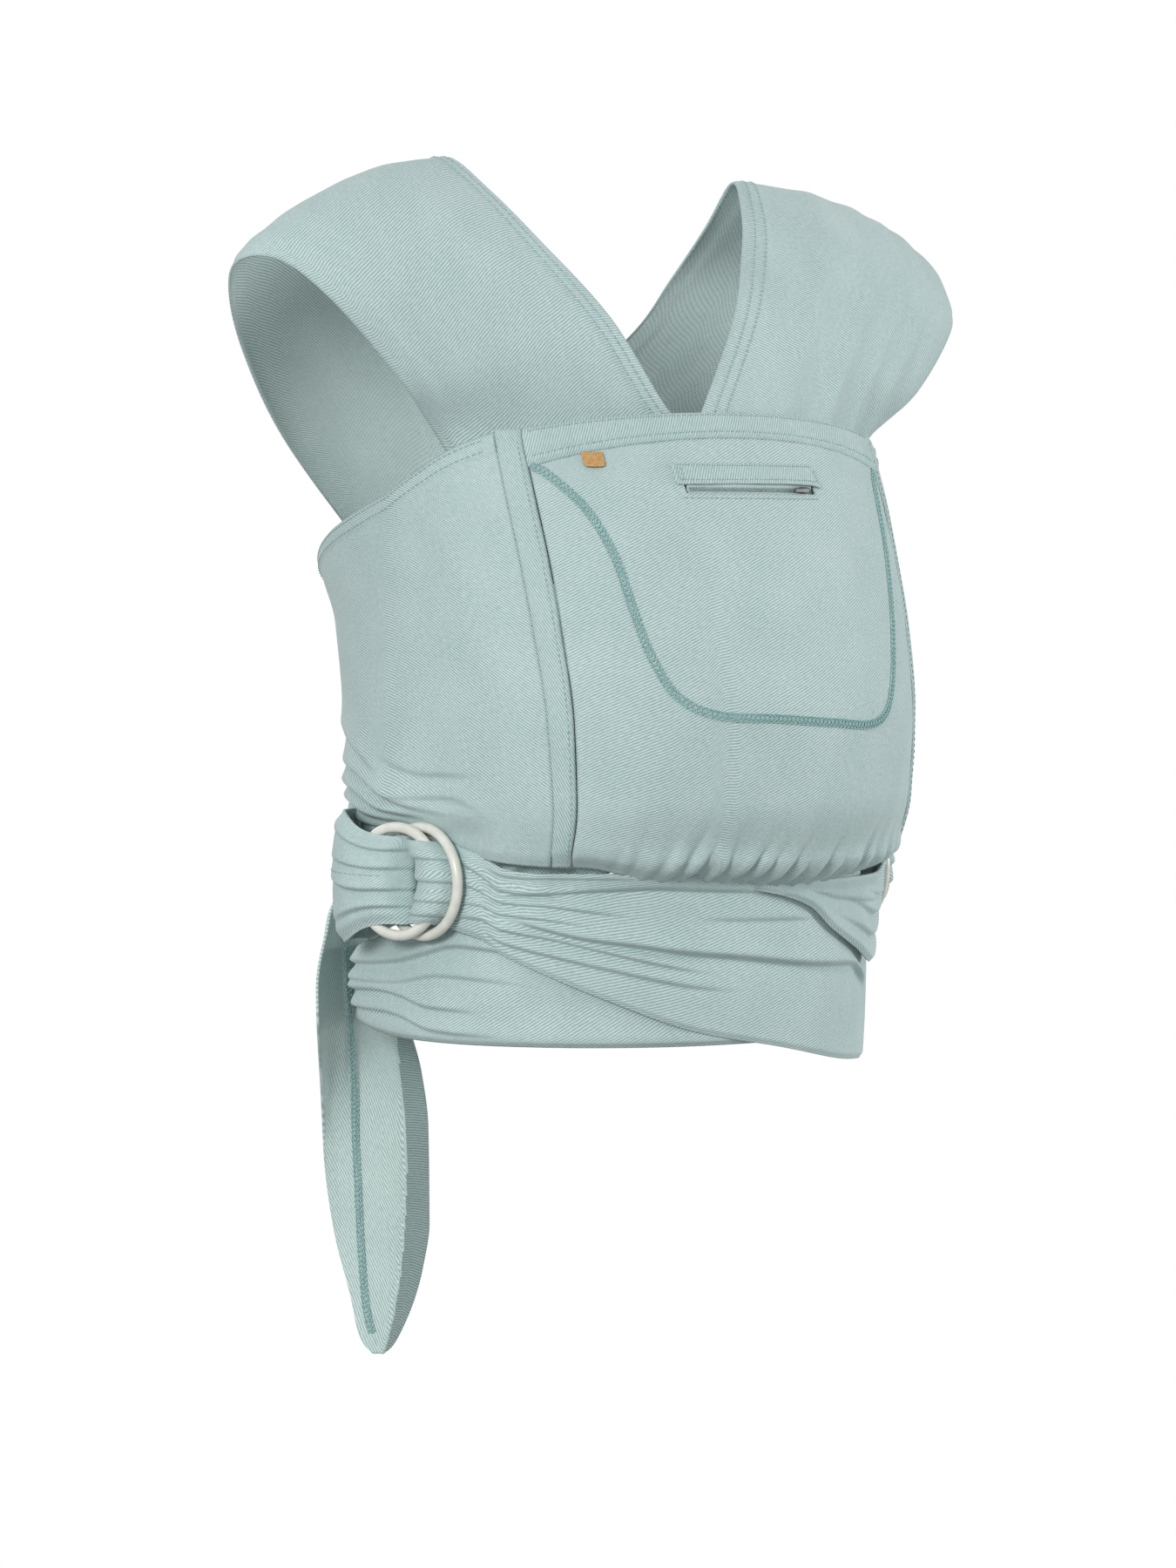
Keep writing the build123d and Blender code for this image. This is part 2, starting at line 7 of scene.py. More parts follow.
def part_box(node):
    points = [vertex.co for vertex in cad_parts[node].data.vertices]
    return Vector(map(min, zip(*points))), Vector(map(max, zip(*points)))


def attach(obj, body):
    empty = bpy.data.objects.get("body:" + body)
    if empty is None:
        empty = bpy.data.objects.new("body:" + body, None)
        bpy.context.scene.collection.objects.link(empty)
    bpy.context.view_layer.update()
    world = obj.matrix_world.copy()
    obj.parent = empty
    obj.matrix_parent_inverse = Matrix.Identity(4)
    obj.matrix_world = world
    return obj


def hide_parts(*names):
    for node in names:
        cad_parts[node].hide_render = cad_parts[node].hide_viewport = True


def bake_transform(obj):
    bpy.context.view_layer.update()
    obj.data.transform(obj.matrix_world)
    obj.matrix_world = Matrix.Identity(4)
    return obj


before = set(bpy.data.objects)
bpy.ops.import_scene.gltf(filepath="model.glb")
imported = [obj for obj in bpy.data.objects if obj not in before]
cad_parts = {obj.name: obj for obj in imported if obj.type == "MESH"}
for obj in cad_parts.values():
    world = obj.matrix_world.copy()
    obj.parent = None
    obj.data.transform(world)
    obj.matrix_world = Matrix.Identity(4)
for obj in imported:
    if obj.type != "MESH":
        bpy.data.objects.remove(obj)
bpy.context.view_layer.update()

# Baby wrap carrier in its worn shape. Shapes are worked out in millimetres and made in metres.
MM = 0.001
CLOTH = 1.3
EPS = 1e-4

# Body that the cloth lies on: height, half width, depth to the front and to the back.
BODY_SECTIONS = [
    (-120, 140, 116, 135),
    (-90, 142, 120, 137),
    (-40, 143, 124, 138),
    (0, 146, 128, 134),
    (20, 150, 148, 130),
    (50, 153, 163, 122),
    (90, 154, 166, 124),
    (140, 154, 155, 138),
    (175, 153.5, 142, 165),
    (200, 153, 130, 165),
    (250, 148, 102, 150),
    (300, 140, 85, 120),
]
BACK_FLATNESS = 0.35
HIP_ANGLE = 80.0
HIP_LIFT = -8.0
HIP_HEIGHT = 6.5
RING_RADIUS = 28.25
RING_WIRE = 5.5
# Each ring: place forward along the hip, place away from it, tilt in degrees.
FRONT_RING = (4.0, 8.0, 3.0)
REAR_RING = (-7.0, 15.2, -5.0)
MM_PER_DEGREE = 2.55


# ---- shape helpers -----------------------------------------------------------


def curve(value, knots):
    """Smooth value of (position, height) pairs, without overshoot."""
    x = np.array([k[0] for k in knots], float)
    y = np.array([k[1] for k in knots], float)
    v = np.clip(np.asarray(value, float), x[0], x[-1])
    span = np.diff(x)
    slope = np.diff(y) / span
    same = slope[:-1] * slope[1:] > 0
    both = np.where(same, slope[:-1] + slope[1:], 1.0)
    tangent = np.zeros(len(x))
    tangent[1:-1] = np.where(same, 2 * slope[:-1] * slope[1:] / both, 0.0)
    tangent[0], tangent[-1] = slope[0], slope[-1]
    i = np.clip(np.searchsorted(x, v, side="right") - 1, 0, len(span) - 1)
    t = (v - x[i]) / span[i]
    rise = (2 * t**3 - 3 * t**2 + 1) * y[i] + (3 * t**2 - 2 * t**3) * y[i + 1]
    bend = (t**3 - 2 * t**2 + t) * tangent[i] + (t**3 - t**2) * tangent[i + 1]
    return rise + span[i] * bend


def ramp(value, start, end):
    """Smooth rise from 0 at start to 1 at end."""
    t = np.clip((np.asarray(value, float) - start) / (end - start), 0, 1)
    return t * t * (3 - 2 * t)


def fall(value, start, end):
    """Smooth fall from 1 at start to 0 at end."""
    return 1 - ramp(value, start, end)


def mix(a, b, share):
    return a + (b - a) * share


def bell(value, centre, width):
    """Smooth bump of height 1."""
    return np.exp(-(((np.asarray(value, float) - centre) / width) ** 2))


WIDTHS = [(s[0], s[1]) for s in BODY_SECTIONS]
FRONTS = [(s[0], s[2]) for s in BODY_SECTIONS]
BACKS = [(s[0], s[3]) for s in BODY_SECTIONS]


def on_body(angle, z, lift):
    """Points over the body: angle 0 is the front, -90 the wearer's right side."""
    angle, z, lift = np.broadcast_arrays(np.asarray(angle, float), z, lift)
    turn = np.radians(angle)
    facing = np.cos(turn)
    front = -(curve(z, FRONTS) + lift) * facing
    back = -(curve(z, BACKS) + lift) * facing * (1 + BACK_FLATNESS * (1 - facing**2))
    x = (curve(z, WIDTHS) + lift) * np.sin(turn)
    return np.stack([x, np.where(facing >= 0, front, back), z * 1.0], -1)


def slack(u, v, size=1.0):
    """Gentle unevenness of soft cloth; u and v are in millimetres."""
    wave = np.sin(u / 31.0 + 1.3 * np.sin(v / 47.0)) * np.sin(v / 38.0 + 0.7)
    wave = wave + 0.5 * np.sin(u / 17.0 - v / 23.0 + 2.0) + 0.35 * np.sin(u / 11.0 + v / 14.0 + 4.0)
    return size * 0.5 * wave


def fold(distance, height, reach, soft=0.9):
    """A lip on the side where distance is over 0, above a groove on the other side."""
    distance = np.asarray(distance, float)
    over = 1 / (1 + np.exp(-np.clip(distance / soft, -30, 30)))
    above = np.maximum(distance, 0) / reach
    lip = height * (1 + 1.1 * above) * np.exp(-above * 1.5)
    below = np.minimum(distance, 0) / reach
    dip = -1.25 * height * np.exp(below / 0.22) - 0.25 * height * np.exp(below / 0.9)
    return over * lip + (1 - over) * dip


def tapered(value, start, end, fade_in, fade_out):
    """1 between start and end, with smooth ends that lie inside them."""
    return ramp(value, start, start + fade_in) * fall(value, end - fade_out, end)


def creases(along, height, rows):
    """Sum of folds that run along a piece. Each row is its line as (along, height) pairs,
    its depth, its reach and the lengths over which its two ends fade."""
    total = 0.0
    for line, depth, reach, fade_in, fade_out in rows:
        level = curve(along, line)
        weight = tapered(along, line[0][0] - 0.1, line[-1][0] + 0.1, fade_in, fade_out)
        side = 1.0 if depth > 0 else -1.0
        total = total + weight * fold(side * (height - level), abs(depth), reach)
    return total


# ---- mesh helpers ------------------------------------------------------------


def lengths(points, axis):
    """Running length along one axis of a grid of points."""
    step = np.linalg.norm(np.diff(points, axis=axis), axis=-1)
    start = np.zeros_like(np.take(step, [0], axis=axis))
    return np.concatenate([start, np.cumsum(step, axis=axis)], axis=axis)


def normals(points, away):
    """Unit normals of a grid; away is a point inside the piece."""
    across = np.gradient(points, axis=1)
    along = np.gradient(points, axis=0)
    n = np.cross(across, along)
    n /= np.maximum(np.linalg.norm(n, axis=-1, keepdims=True), 1e-9)
    inside = np.array(away, float)
    sign = np.sign(np.mean(np.sum(n * (points - inside), -1)))
    return n * sign, sign


def make_object(name, verts, faces, uvs=None, slots=None, materials=()):
    mesh = bpy.data.meshes.new(name)
    mesh.from_pydata((np.asarray(verts) * MM).tolist(), [], faces)
    mesh.polygons.foreach_set("use_smooth", [True] * len(mesh.polygons))
    for material in materials:
        mesh.materials.append(material)
    if slots is not None:
        mesh.polygons.foreach_set("material_index", slots)
    if uvs is not None:
        layer = mesh.uv_layers.new(name="UVMap")
        index = np.empty(len(mesh.loops), int)
        mesh.loops.foreach_get("vertex_index", index)
        layer.data.foreach_set("uv", (np.asarray(uvs)[index] * MM).ravel())
    mesh.validate()
    obj = bpy.data.objects.new(name, mesh)
    bpy.context.scene.collection.objects.link(obj)
    return obj


def cloth(name, outer, thickness, materials, inside=(0, 0, 0), keep=None, turn=0.0, even=False):
    """Closed cloth of even thickness under a grid of points on its outer face."""
    rows, cols = outer.shape[:2]
    normal, sign = normals(outer, inside)
    inner = outer - normal * np.broadcast_to(np.asarray(thickness, float), (rows, cols))[..., None]
    u = lengths(outer, 1)
    u = u - u[:, cols // 2:cols // 2 + 1]
    v = lengths(outer, 0)
    if even:
        u = u[rows * 3 // 4][None, :] + 0 * u
        v = v[:, cols // 2][:, None] + 0 * v
    uv = np.stack([u, v], -1).reshape(-1, 2)
    if turn:
        uv = uv @ np.array([[np.cos(turn), -np.sin(turn)], [np.sin(turn), np.cos(turn)]])
    kept = np.ones((rows - 1, cols - 1), bool) if keep is None else keep
    index = np.arange(rows * cols).reshape(rows, cols)
    a, b = index[:-1, :-1], index[:-1, 1:]
    c, d = index[1:, 1:], index[1:, :-1]
    top = np.stack([a, b, c, d], -1)[kept]
    if sign < 0:
        top = top[:, ::-1]
    count = rows * cols
    under = top[:, ::-1] + count
    border = np.pad(kept, 1)
    walls = []
    sides = (
        (border[:-2, 1:-1], a, b),
        (border[1:-1, 2:], b, c),
        (border[2:, 1:-1], c, d),
        (border[1:-1, :-2], d, a),
    )
    for beyond, start, end in sides:
        edge = kept & ~beyond
        first, second = start[edge], end[edge]
        wall = np.stack([second, first, first + count, second + count], -1)
        walls.append(wall if sign > 0 else wall[:, ::-1])
    walls = np.concatenate(walls)
    faces = np.concatenate([top, under, walls])
    slots = np.concatenate([np.zeros(len(top)), np.ones(len(under)), np.zeros(len(walls))]).astype(int)
    verts = np.concatenate([outer.reshape(-1, 3), inner.reshape(-1, 3)])
    used = np.zeros(len(verts), bool)
    used[faces.ravel()] = True
    new = np.cumsum(used) - 1
    faces = new[faces]
    uvs = np.concatenate([uv, uv])[used]
    return make_object(name, verts[used], faces.tolist(), uvs, slots.tolist(), materials)


def surface(place, rows, cols):
    """Grid of points of a place(s, t) function, for shares s up and t along the piece."""
    s = np.linspace(0, 1, rows) if np.isscalar(rows) else rows
    t = np.linspace(0, 1, cols) if np.isscalar(cols) else cols
    return place(s[:, None] + 0 * t[None, :], t[None, :] + 0 * s[:, None])


def tubes(name, lines, outs, radius, material, sides=6, taper=True):
    """Round threads along lines of points, all in one mesh."""
    verts, faces, uvs = [], [], []
    angles = np.arange(sides) * 2 * np.pi / sides
    for line, out in zip(lines, outs):
        line, out = np.asarray(line, float), np.asarray(out, float)
        along = np.gradient(line, axis=0)
        along /= np.maximum(np.linalg.norm(along, axis=-1, keepdims=True), 1e-9)
        side = np.cross(along, out)
        side /= np.maximum(np.linalg.norm(side, axis=-1, keepdims=True), 1e-9)
        up = np.cross(side, along)
        size = np.full(len(line), radius)
        if taper:
            size[0] = size[-1] = radius * 0.45
        ring = side[:, None] * np.cos(angles)[:, None] + up[:, None] * np.sin(angles)[:, None]
        points = (line[:, None] + ring * size[:, None, None]).reshape(-1, 3)
        start = len(verts)
        verts.extend(points.tolist())
        run = lengths(line, 0)
        for i in range(len(line)):
            uvs.extend([(run[i], k * 2 * radius) for k in range(sides)])
        for i in range(len(line) - 1):
            for k in range(sides):
                a = start + i * sides + k
                b = start + i * sides + (k + 1) % sides
                faces.append((a, b, b + sides, a + sides))
        faces.append(tuple(start + k for k in reversed(range(sides))))
        faces.append(tuple(start + (len(line) - 1) * sides + k for k in range(sides)))
    obj = make_object(name, verts, faces, uvs, None, [material])
    return obj


def along_line(wanted, run, points):
    """Points at wanted places along a line of points, whose own places are in run."""
    return np.stack([np.interp(wanted, run, points[:, i]) for i in range(points.shape[1])], -1)


def stitches(path, outward, length=2.7, gap=0.8, sink=0.12, height=0.22):
    """Separate stitches along a path of points, each one a short line."""
    total = np.sum(np.linalg.norm(np.diff(path, axis=0), axis=1))
    lines, outs = [], []
    start = gap
    while start + length < total:
        wanted = start + length * np.array([0, 0.2, 0.5, 0.8, 1.0])
        points = along_line(wanted, lengths(path, 0), path)
        out = along_line(wanted / total * (len(path) - 1), np.arange(len(path)), outward)
        rise = np.array([-sink, height * 0.8, height, height * 0.8, -sink])
        lines.append(points + out * rise[:, None])
        outs.append(out)
        start += length + gap
    return lines, outs


def path_on(place, s, t, inside):
    """Points and outward normals along a line of shares on a place(s, t) surface."""
    s, t = np.broadcast_arrays(np.asarray(s, float), np.asarray(t, float))
    points = place(s, t)
    ds = place(np.clip(s + EPS, 0, 1), t) - place(np.clip(s - EPS, 0, 1), t)
    dt = place(s, np.clip(t + EPS, 0, 1)) - place(s, np.clip(t - EPS, 0, 1))
    n = np.cross(dt, ds)
    n /= np.maximum(np.linalg.norm(n, axis=-1, keepdims=True), 1e-9)
    sign = np.sign(np.mean(np.sum(n * (points - np.array(inside, float)), -1)))
    return points, n * sign


def sewn(place, rows, inside, **how):
    """Stitches along several lines of shares on a surface."""
    lines, outs = [], []
    for s, t in rows:
        points, out = path_on(place, s, t, inside)
        more, ups = stitches(points, out, **how)
        lines += more
        outs += ups
    return lines, outs


# ---- materials ---------------------------------------------------------------


def srgb(r, g, b):
    c = np.array([r, g, b]) / 255
    return (*np.where(c <= 0.04045, c / 12.92, ((c + 0.055) / 1.055) ** 2.4), 1.0)


def feed(tree, made, inputs):
    """Fill a node's inputs with values, or link them to outputs of other nodes."""
    for key, value in inputs.items():
        if isinstance(value, bpy.types.NodeSocket):
            tree.links.new(value, made.inputs[key])
        else:
            made.inputs[key].default_value = value


def node(tree, kind, inputs=None, **settings):
    made = tree.nodes.new(kind)
    for key, value in settings.items():
        setattr(made, key, value)
    feed(tree, made, inputs or {})
    return made


def arithmetic(tree, operation, first, second):
    return node(tree, "ShaderNodeMath", {0: first, 1: second}, operation=operation).outputs[0]


def new_material(name, roughness):
    material = bpy.data.materials.new(name)
    material.use_nodes = True
    tree = material.node_tree
    shader = tree.nodes["Principled BSDF"]
    shader.inputs["Roughness"].default_value = roughness
    return material, tree, shader


def colour_and_relief(tree, shader, shade, stops, colours, height, bump, distance):
    """Colour between two stops of a shade, and a bump from a height."""
    blend = node(tree, "ShaderNodeValToRGB", {0: shade})
    for element, position, colour in zip(blend.color_ramp.elements, stops, colours):
        element.position, element.color = position, colour
    relief = node(tree, "ShaderNodeBump", {"Height": height, "Strength": bump, "Distance": distance})
    feed(tree, shader, {"Base Color": blend.outputs[0], "Normal": relief.outputs[0]})


def woven(name, light, dark, pitch=1.35, lean=62.0, bump=0.55, contrast=1.0):
    """Twill: diagonal ribs, finer cross yarns, slubs and slow changes of shade."""
    material, tree, shader = new_material(name, 0.88)
    uv = node(tree, "ShaderNodeUVMap", uv_map="UVMap").outputs[0]
    in_mm = node(tree, "ShaderNodeMapping", {"Vector": uv, "Scale": (1000, 1000, 1000)}).outputs[0]
    angle = (0, 0, np.radians(lean))
    turned = node(tree, "ShaderNodeMapping", {"Vector": in_mm, "Rotation": angle}).outputs[0]

    def bands(step, direction, distortion):
        inputs = {"Vector": turned, "Scale": 2 * np.pi / 20 / step, "Distortion": distortion}
        inputs.update({"Detail": 1.5, "Detail Scale": 1.2})
        return node(tree, "ShaderNodeTexWave", inputs, bands_direction=direction).outputs["Fac"]

    def noise(scale, stretch, detail):
        size = (scale, scale * stretch, scale)
        shaped = node(tree, "ShaderNodeMapping", {"Vector": turned, "Scale": size}).outputs[0]
        inputs = {"Vector": shaped, "Scale": 1.0, "Detail": detail}
        return node(tree, "ShaderNodeTexNoise", inputs).outputs["Fac"]

    def plus(total, source, weight):
        part = arithmetic(tree, "MULTIPLY", source, weight)
        return arithmetic(tree, "ADD", total, part) if total else part

    slub = noise(1.1, 0.28, 3.0)
    weave = plus(plus(None, bands(pitch, "X", 0.9), 0.42), bands(pitch * 0.62, "Y", 1.2), 0.16)
    height = plus(weave, slub, 0.42)
    shade = plus(height, noise(0.028, 1.0, 2.0), 0.16)
    middle, reach = 0.58, 0.34 / contrast
    stops = (middle - reach, middle + reach)
    colour_and_relief(tree, shader, shade, stops, (dark, light), height, bump, 0.00035)
    rough = node(tree, "ShaderNodeMapRange", {"Value": slub, "To Min": 0.82, "To Max": 0.95})
    feed(tree, shader, {
        "Roughness": rough.outputs[0], "Sheen Weight": 0.18, "Sheen Roughness": 0.45,
        "Specular IOR Level": 0.22,
    })
    return material


def speckled(name, light, dark, scale, roughness, bump=0.2, distance=0.0002):
    """Material with a fine noise in colour and relief, in object coordinates."""
    material, tree, shader = new_material(name, roughness)
    place = node(tree, "ShaderNodeTexCoord").outputs["Object"]
    noise = node(tree, "ShaderNodeTexNoise", {"Vector": place, "Scale": scale, "Detail": 5.0})
    grain = noise.outputs["Fac"]
    colour_and_relief(tree, shader, grain, (0.3, 0.7), (dark, light), grain, bump, distance)
    return material


def for_camera(tree, others, camera, output):
    """One shader for camera rays and another one for all other rays."""
    seen = node(tree, "ShaderNodeLightPath").outputs["Is Camera Ray"]
    both = node(tree, "ShaderNodeMixShader", {0: seen, 1: others, 2: camera})
    feed(tree, tree.nodes[output], {"Surface": both.outputs[0]})


FACE = woven("cloth_face", srgb(204, 220, 218), srgb(138, 166, 167), contrast=1.45)
# Inner face of the cloth has its own twill. Its colour is lighter than the outer face, and that lightness is
# painted light offsetting the shade in recesses where the inner face shows.
BACK = woven("cloth_back_painted_light", srgb(230, 242, 239), srgb(158, 184, 184), pitch=1.9, lean=118.0, contrast=1.5)
HEM = woven("cloth_hem", srgb(200, 217, 215), srgb(136, 164, 165), lean=28.0, contrast=1.4)
TAIL_FACE = woven("cloth_tail", srgb(222, 236, 232), srgb(150, 180, 178), pitch=1.4, lean=20.0, contrast=1.3)
# Tail leaf beyond the fold: its twill runs another way, and its darker colour is painted shade where the leaf
# curls away from the light.
PAINTED_SHADE_LEAF = woven(
    "cloth_tail_leaf_painted_shade", srgb(168, 186, 183), srgb(98, 124, 124), pitch=1.4, lean=100.0, contrast=1.2
)
THREAD = speckled("thread_teal", srgb(164, 200, 198), srgb(134, 176, 175), 900, 0.7)
THREAD_PALE = speckled("thread_pale", srgb(166, 192, 190), srgb(134, 166, 165), 900, 0.7)
SATIN = speckled("ring_satin", srgb(226, 227, 219), srgb(210, 211, 202), 140, 0.3, 0.04, 0.0001)
LEATHER = speckled("tab_tan", srgb(204, 164, 104), srgb(176, 132, 78), 700, 0.5, 0.35, 0.00025)
TAPE = woven("zip_tape", srgb(206, 220, 218), srgb(166, 190, 188), pitch=0.9, lean=0.0)
COIL = speckled("zip_coil", srgb(170, 188, 186), srgb(120, 142, 142), 800, 0.45)
ENAMEL = speckled("zip_enamel", srgb(46, 50, 54), srgb(28, 32, 36), 500, 0.38)
CLOTHS = (FACE, BACK)


def placed(obj, slot, *nodes, body="wrap"):
    """Attach a piece to the body that it rides on and hide the nodes that it replaces; slot is not used."""
    if body:
        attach(obj, body)
    if nodes:
        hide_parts(*nodes)
    return obj


def sew(name, found, radius=0.3, body="wrap"):
    """Threads for the stitches that sewn() or stitches() found."""
    lines, outs = found
    obj = tubes(name, lines, outs, radius, THREAD_PALE)
    if body:
        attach(obj, body)
    return obj


# ---- shoulder straps ---------------------------------------------------------

# Stations along a strap: its neck edge, middle and outer edge. On the body they are (angle, height).
SHOULDER_FRONT = {
    "right": [
        ((-56, -74, 299), (-112, -68, 284), (-164, -42, 263)),
        ((-80, -42, 341), (-142, -49, 330), (-200, -36, 304)),
        ((-94, -16, 368), (-161, -22, 361), (-222, -16, 328)),
        ((-103, 10, 386), (-169, 12, 371), (-234, 10, 329)),
    ],
    "left": [
        ((26, -68, 301), (104, -67, 284), (170, -41, 263)),
        ((52, -39, 337), (134, -49, 327), (202, -33, 300)),
        ((66, -20, 360), (150, -22, 356), (216, -14, 318)),
        ((81, 10, 382), (158, 12, 371), (222, 10, 338)),
    ],
}
SHOULDER_BACK = [
    ((-81, 36, 358), (-156, 42, 349), (-225, 34, 312)),
    ((-78, 66, 330), (-142, 74, 314), (-199, 64, 283)),
    ((-69, 94, 299), (-117, 106, 271), (-157, 95, 239)),
]
STRAP_BACK = [
    ((-170, 244), (-158, 212), (-148, 176)),
    ((-188, 190), (-180, 150), (-171, 108)),
    ((-212, 122), (-206, 82), (-200, 42)),
    ((-236, 52), (-236, 22), (-236, -8)),
    ((-252, 40), (-252, 7), (-252, -26)),
]
STRAP_FRONT = [
    ((79, 26), (79, 6), (79, -14)),
    ((60, 31), (60, 6), (60, -18)),
    ((38, 165), (28, 100), (20, 35)),
    ((14, 222), (-8, 172), (-28, 112)),
]
STRAP_AT_PANEL_TOP = {
    "right": ((-11, 247), (-38, 243), (-72, 232)),
    "left": ((5, 250), (-36, 243), (-74, 228)),
}
STRAP_LIFT = {"right": -12.8, "left": -9.6}


def bent(station, share):
    """Points of a (first edge, middle, last edge) station at shares of its width."""
    first, middle, last = (np.array(p, float) for p in station)
    share = np.asarray(share)[:, None]
    return (
        2 * (share - 0.5) * (share - 1) * first
        + 4 * share * (1 - share) * middle
        + 2 * share * (share - 0.5) * last
    )


def refined(rows, parts, before=None, after=None):
    """Smooth rows between rows of points, through their neighbours."""
    first = 2 * rows[0] - rows[1] if before is None else before
    last = 2 * rows[-1] - rows[-2] if after is None else after
    padded = [first, *rows, last]
    made = []
    for i in range(len(rows) - 1):
        p, a, b, n = padded[i:i + 4]
        for t in np.arange(parts) / parts:
            value = (2 * t**3 - 3 * t**2 + 1) * a + (t**3 - 2 * t**2 + t) * (b - p) / 2
            made.append(value + (3 * t**2 - 2 * t**3) * b + (t**3 - t**2) * (n - a) / 2)
    return np.array(made + [rows[-1]])


def strap_grid(name, rows=330, cols=61):
    """Points of a strap's outer face, row by row from the front hip to the back hip."""
    side = 1 if name == "right" else -1
    lift = STRAP_LIFT[name]
    share = np.linspace(0, 1, cols)

    def lying(stations, parts=12):
        return refined([bent(station, share) for station in stations], parts)

    front_flat = lying(STRAP_FRONT + [STRAP_AT_PANEL_TOP[name]])
    back_flat = lying(STRAP_BACK)
    reach = np.abs(front_flat[..., 0])
    front_lift = lift + (HIP_LIFT - 1.2 - lift) * ramp(reach, 48, 72)
    front = on_body(side * front_flat[..., 0], front_flat[..., 1], front_lift)
    reach = np.abs(back_flat[..., 0])
    back_lift = lift + (HIP_LIFT + 0.5 - lift) * ramp(reach, 214, 246)
    back = on_body(side * back_flat[..., 0], back_flat[..., 1], back_lift)
    shoulder = SHOULDER_FRONT[name] + [[(side * x, y, z) for x, y, z in row] for row in SHOULDER_BACK]
    free = [front[-1], *(bent(station, share) for station in shoulder), back[0]]
    middle = refined(free, 10, front[-6], back[5])
    whole = np.concatenate([front[:-1], middle, back[1:]])
    run = lengths(whole, 0)
    made = np.empty((rows, cols, 3))
    for k in range(cols):
        wanted = np.linspace(0, run[-1, k], rows)
        for axis in range(3):
            made[:, k, axis] = np.interp(wanted, run[:, k], whole[:, k, axis])
    for _ in range(3):
        made[1:-1] = (made[:-2] + 2 * made[1:-1] + made[2:]) / 4
    return made


# Soft folds: share of the strap's width, height and half width as a share.
STRAP_FOLDS = {
    "right": [(0.93, 1.8, 0.035), (0.80, 0.9, 0.06), (0.30, 0.7, 0.07)],
    "left": [(0.30, 1.6, 0.05), (0.47, 2.2, 0.045), (0.62, 1.8, 0.04), (0.78, 2.0, 0.05), (0.92, 1.2, 0.04)],
}
STRAP_MIDDLE = {"right": (-110, 30, 230), "left": (110, 30, 230)}


def make_strap(name):
    grid = strap_grid(name)
    rows, cols = grid.shape[:2]
    along = np.linspace(0, 1, rows)[:, None]
    across = np.linspace(0, 1, cols)[None, :]
    normal, _ = normals(grid, STRAP_MIDDLE[name])
    width = np.linalg.norm(grid[:, -1] - grid[:, 0], axis=-1)[:, None]
    from_edge = across * width
    lift = np.zeros((rows, cols))
    # soft folds run along the strap; they are strongest over the panel's top
    strength = bell(along, 0.36, 0.10) + 0.35 * bell(along, 0.5, 0.2)
    for centre, height, spread in STRAP_FOLDS[name]:
        drift = 0.03 * np.sin(along * 9 + centre * 7)
        lift = lift + height * strength * bell(across, centre + drift, spread)
    # the cloth bunches towards both hips
    bunch = ramp(along, 0.88, 1.0) + fall(along, 0.0, 0.14)
    lift = lift + bunch * 1.1 * np.sin(across * 26 + 2 * np.sin(along * 40))
    lift = lift + slack(from_edge * 2.2, along * 900, 0.5) * ramp(across, 0.02, 0.2)
    # the hem is a second layer, and its outer edge rolls a little
    hem_width = 12.5
    hem = fall(from_edge, hem_width - 0.9, hem_width + 0.9)
    free = tapered(along, 0.10, 0.93, 0.03, 0.03)
    lift = lift + hem * 0.75 * free
    lift = lift - 0.9 * fall(from_edge, 0.0, 2.2) * free
    lift = lift - 2.2 * fall((1 - across) * width, 0.0, 6.0) * free
    outer = grid + normal * lift[..., None]
    obj = cloth(f"strap_{name}", outer, CLOTH, CLOTHS, inside=STRAP_MIDDLE[name])
    placed(obj, "cloth", f"strap_{name}_shoulder", f"strap_{name}_neck_hem")
    area_width = float(np.mean(lengths(outer, 1)[:, -1])) * MM
    area_length = float(np.mean(lengths(outer, 0)[-1])) * MM

    def place_row(distance):
        position = np.clip(distance / width[:, 0], 0, 1) * (cols - 1)
        low = np.clip(np.floor(position).astype(int), 0, cols - 2)
        share = (position - low)[:, None]
        index = np.arange(rows)
        points = mix(outer[index, low], outer[index, low + 1], share)
        out = mix(normal[index, low], normal[index, low + 1], share)
        kept = slice(int(rows * 0.1), int(rows * 0.93))
        return points[kept], out[kept]

    lines, outs = [], []
    for distance in (hem_width - 1.6, hem_width - 6.8):
        points, out = place_row(distance)
        more, ups = stitches(points, out)
        lines += more
        outs += ups
    sew(f"strap_{name}_hem_stitches", (lines, outs), radius=0.32)
    return obj


# ---- front panel -------------------------------------------------------------

PANEL_EDGE = 48.0
PANEL_SPAN = 2 * (PANEL_EDGE - 0.1)


def panel_top(angle):
    return 250.0 - 0.004 * angle**2


def panel_seam(angle):
    return panel_top(angle) - 13.0 - 0.003 * angle**2


PANEL_BOTTOM_LINE = [
    (-48, 16), (-43.5, 15.4), (-34.5, 11.3), (-27.6, 7.9), (-20.5, 8.0), (-17.7, 11.8), (-14.5, 7.2),
    (-7, 6.2), (4.8, 2.8), (11.4, 2.8), (22.3, 4.9), (38.3, 8.6), (48, 12.5),
]


def panel_bottom(angle):
    return curve(angle, PANEL_BOTTOM_LINE)


def panel_lean(z):
    return 1 + (250.0 - z) / 245.0 * (43.4 / 48.0 - 1)


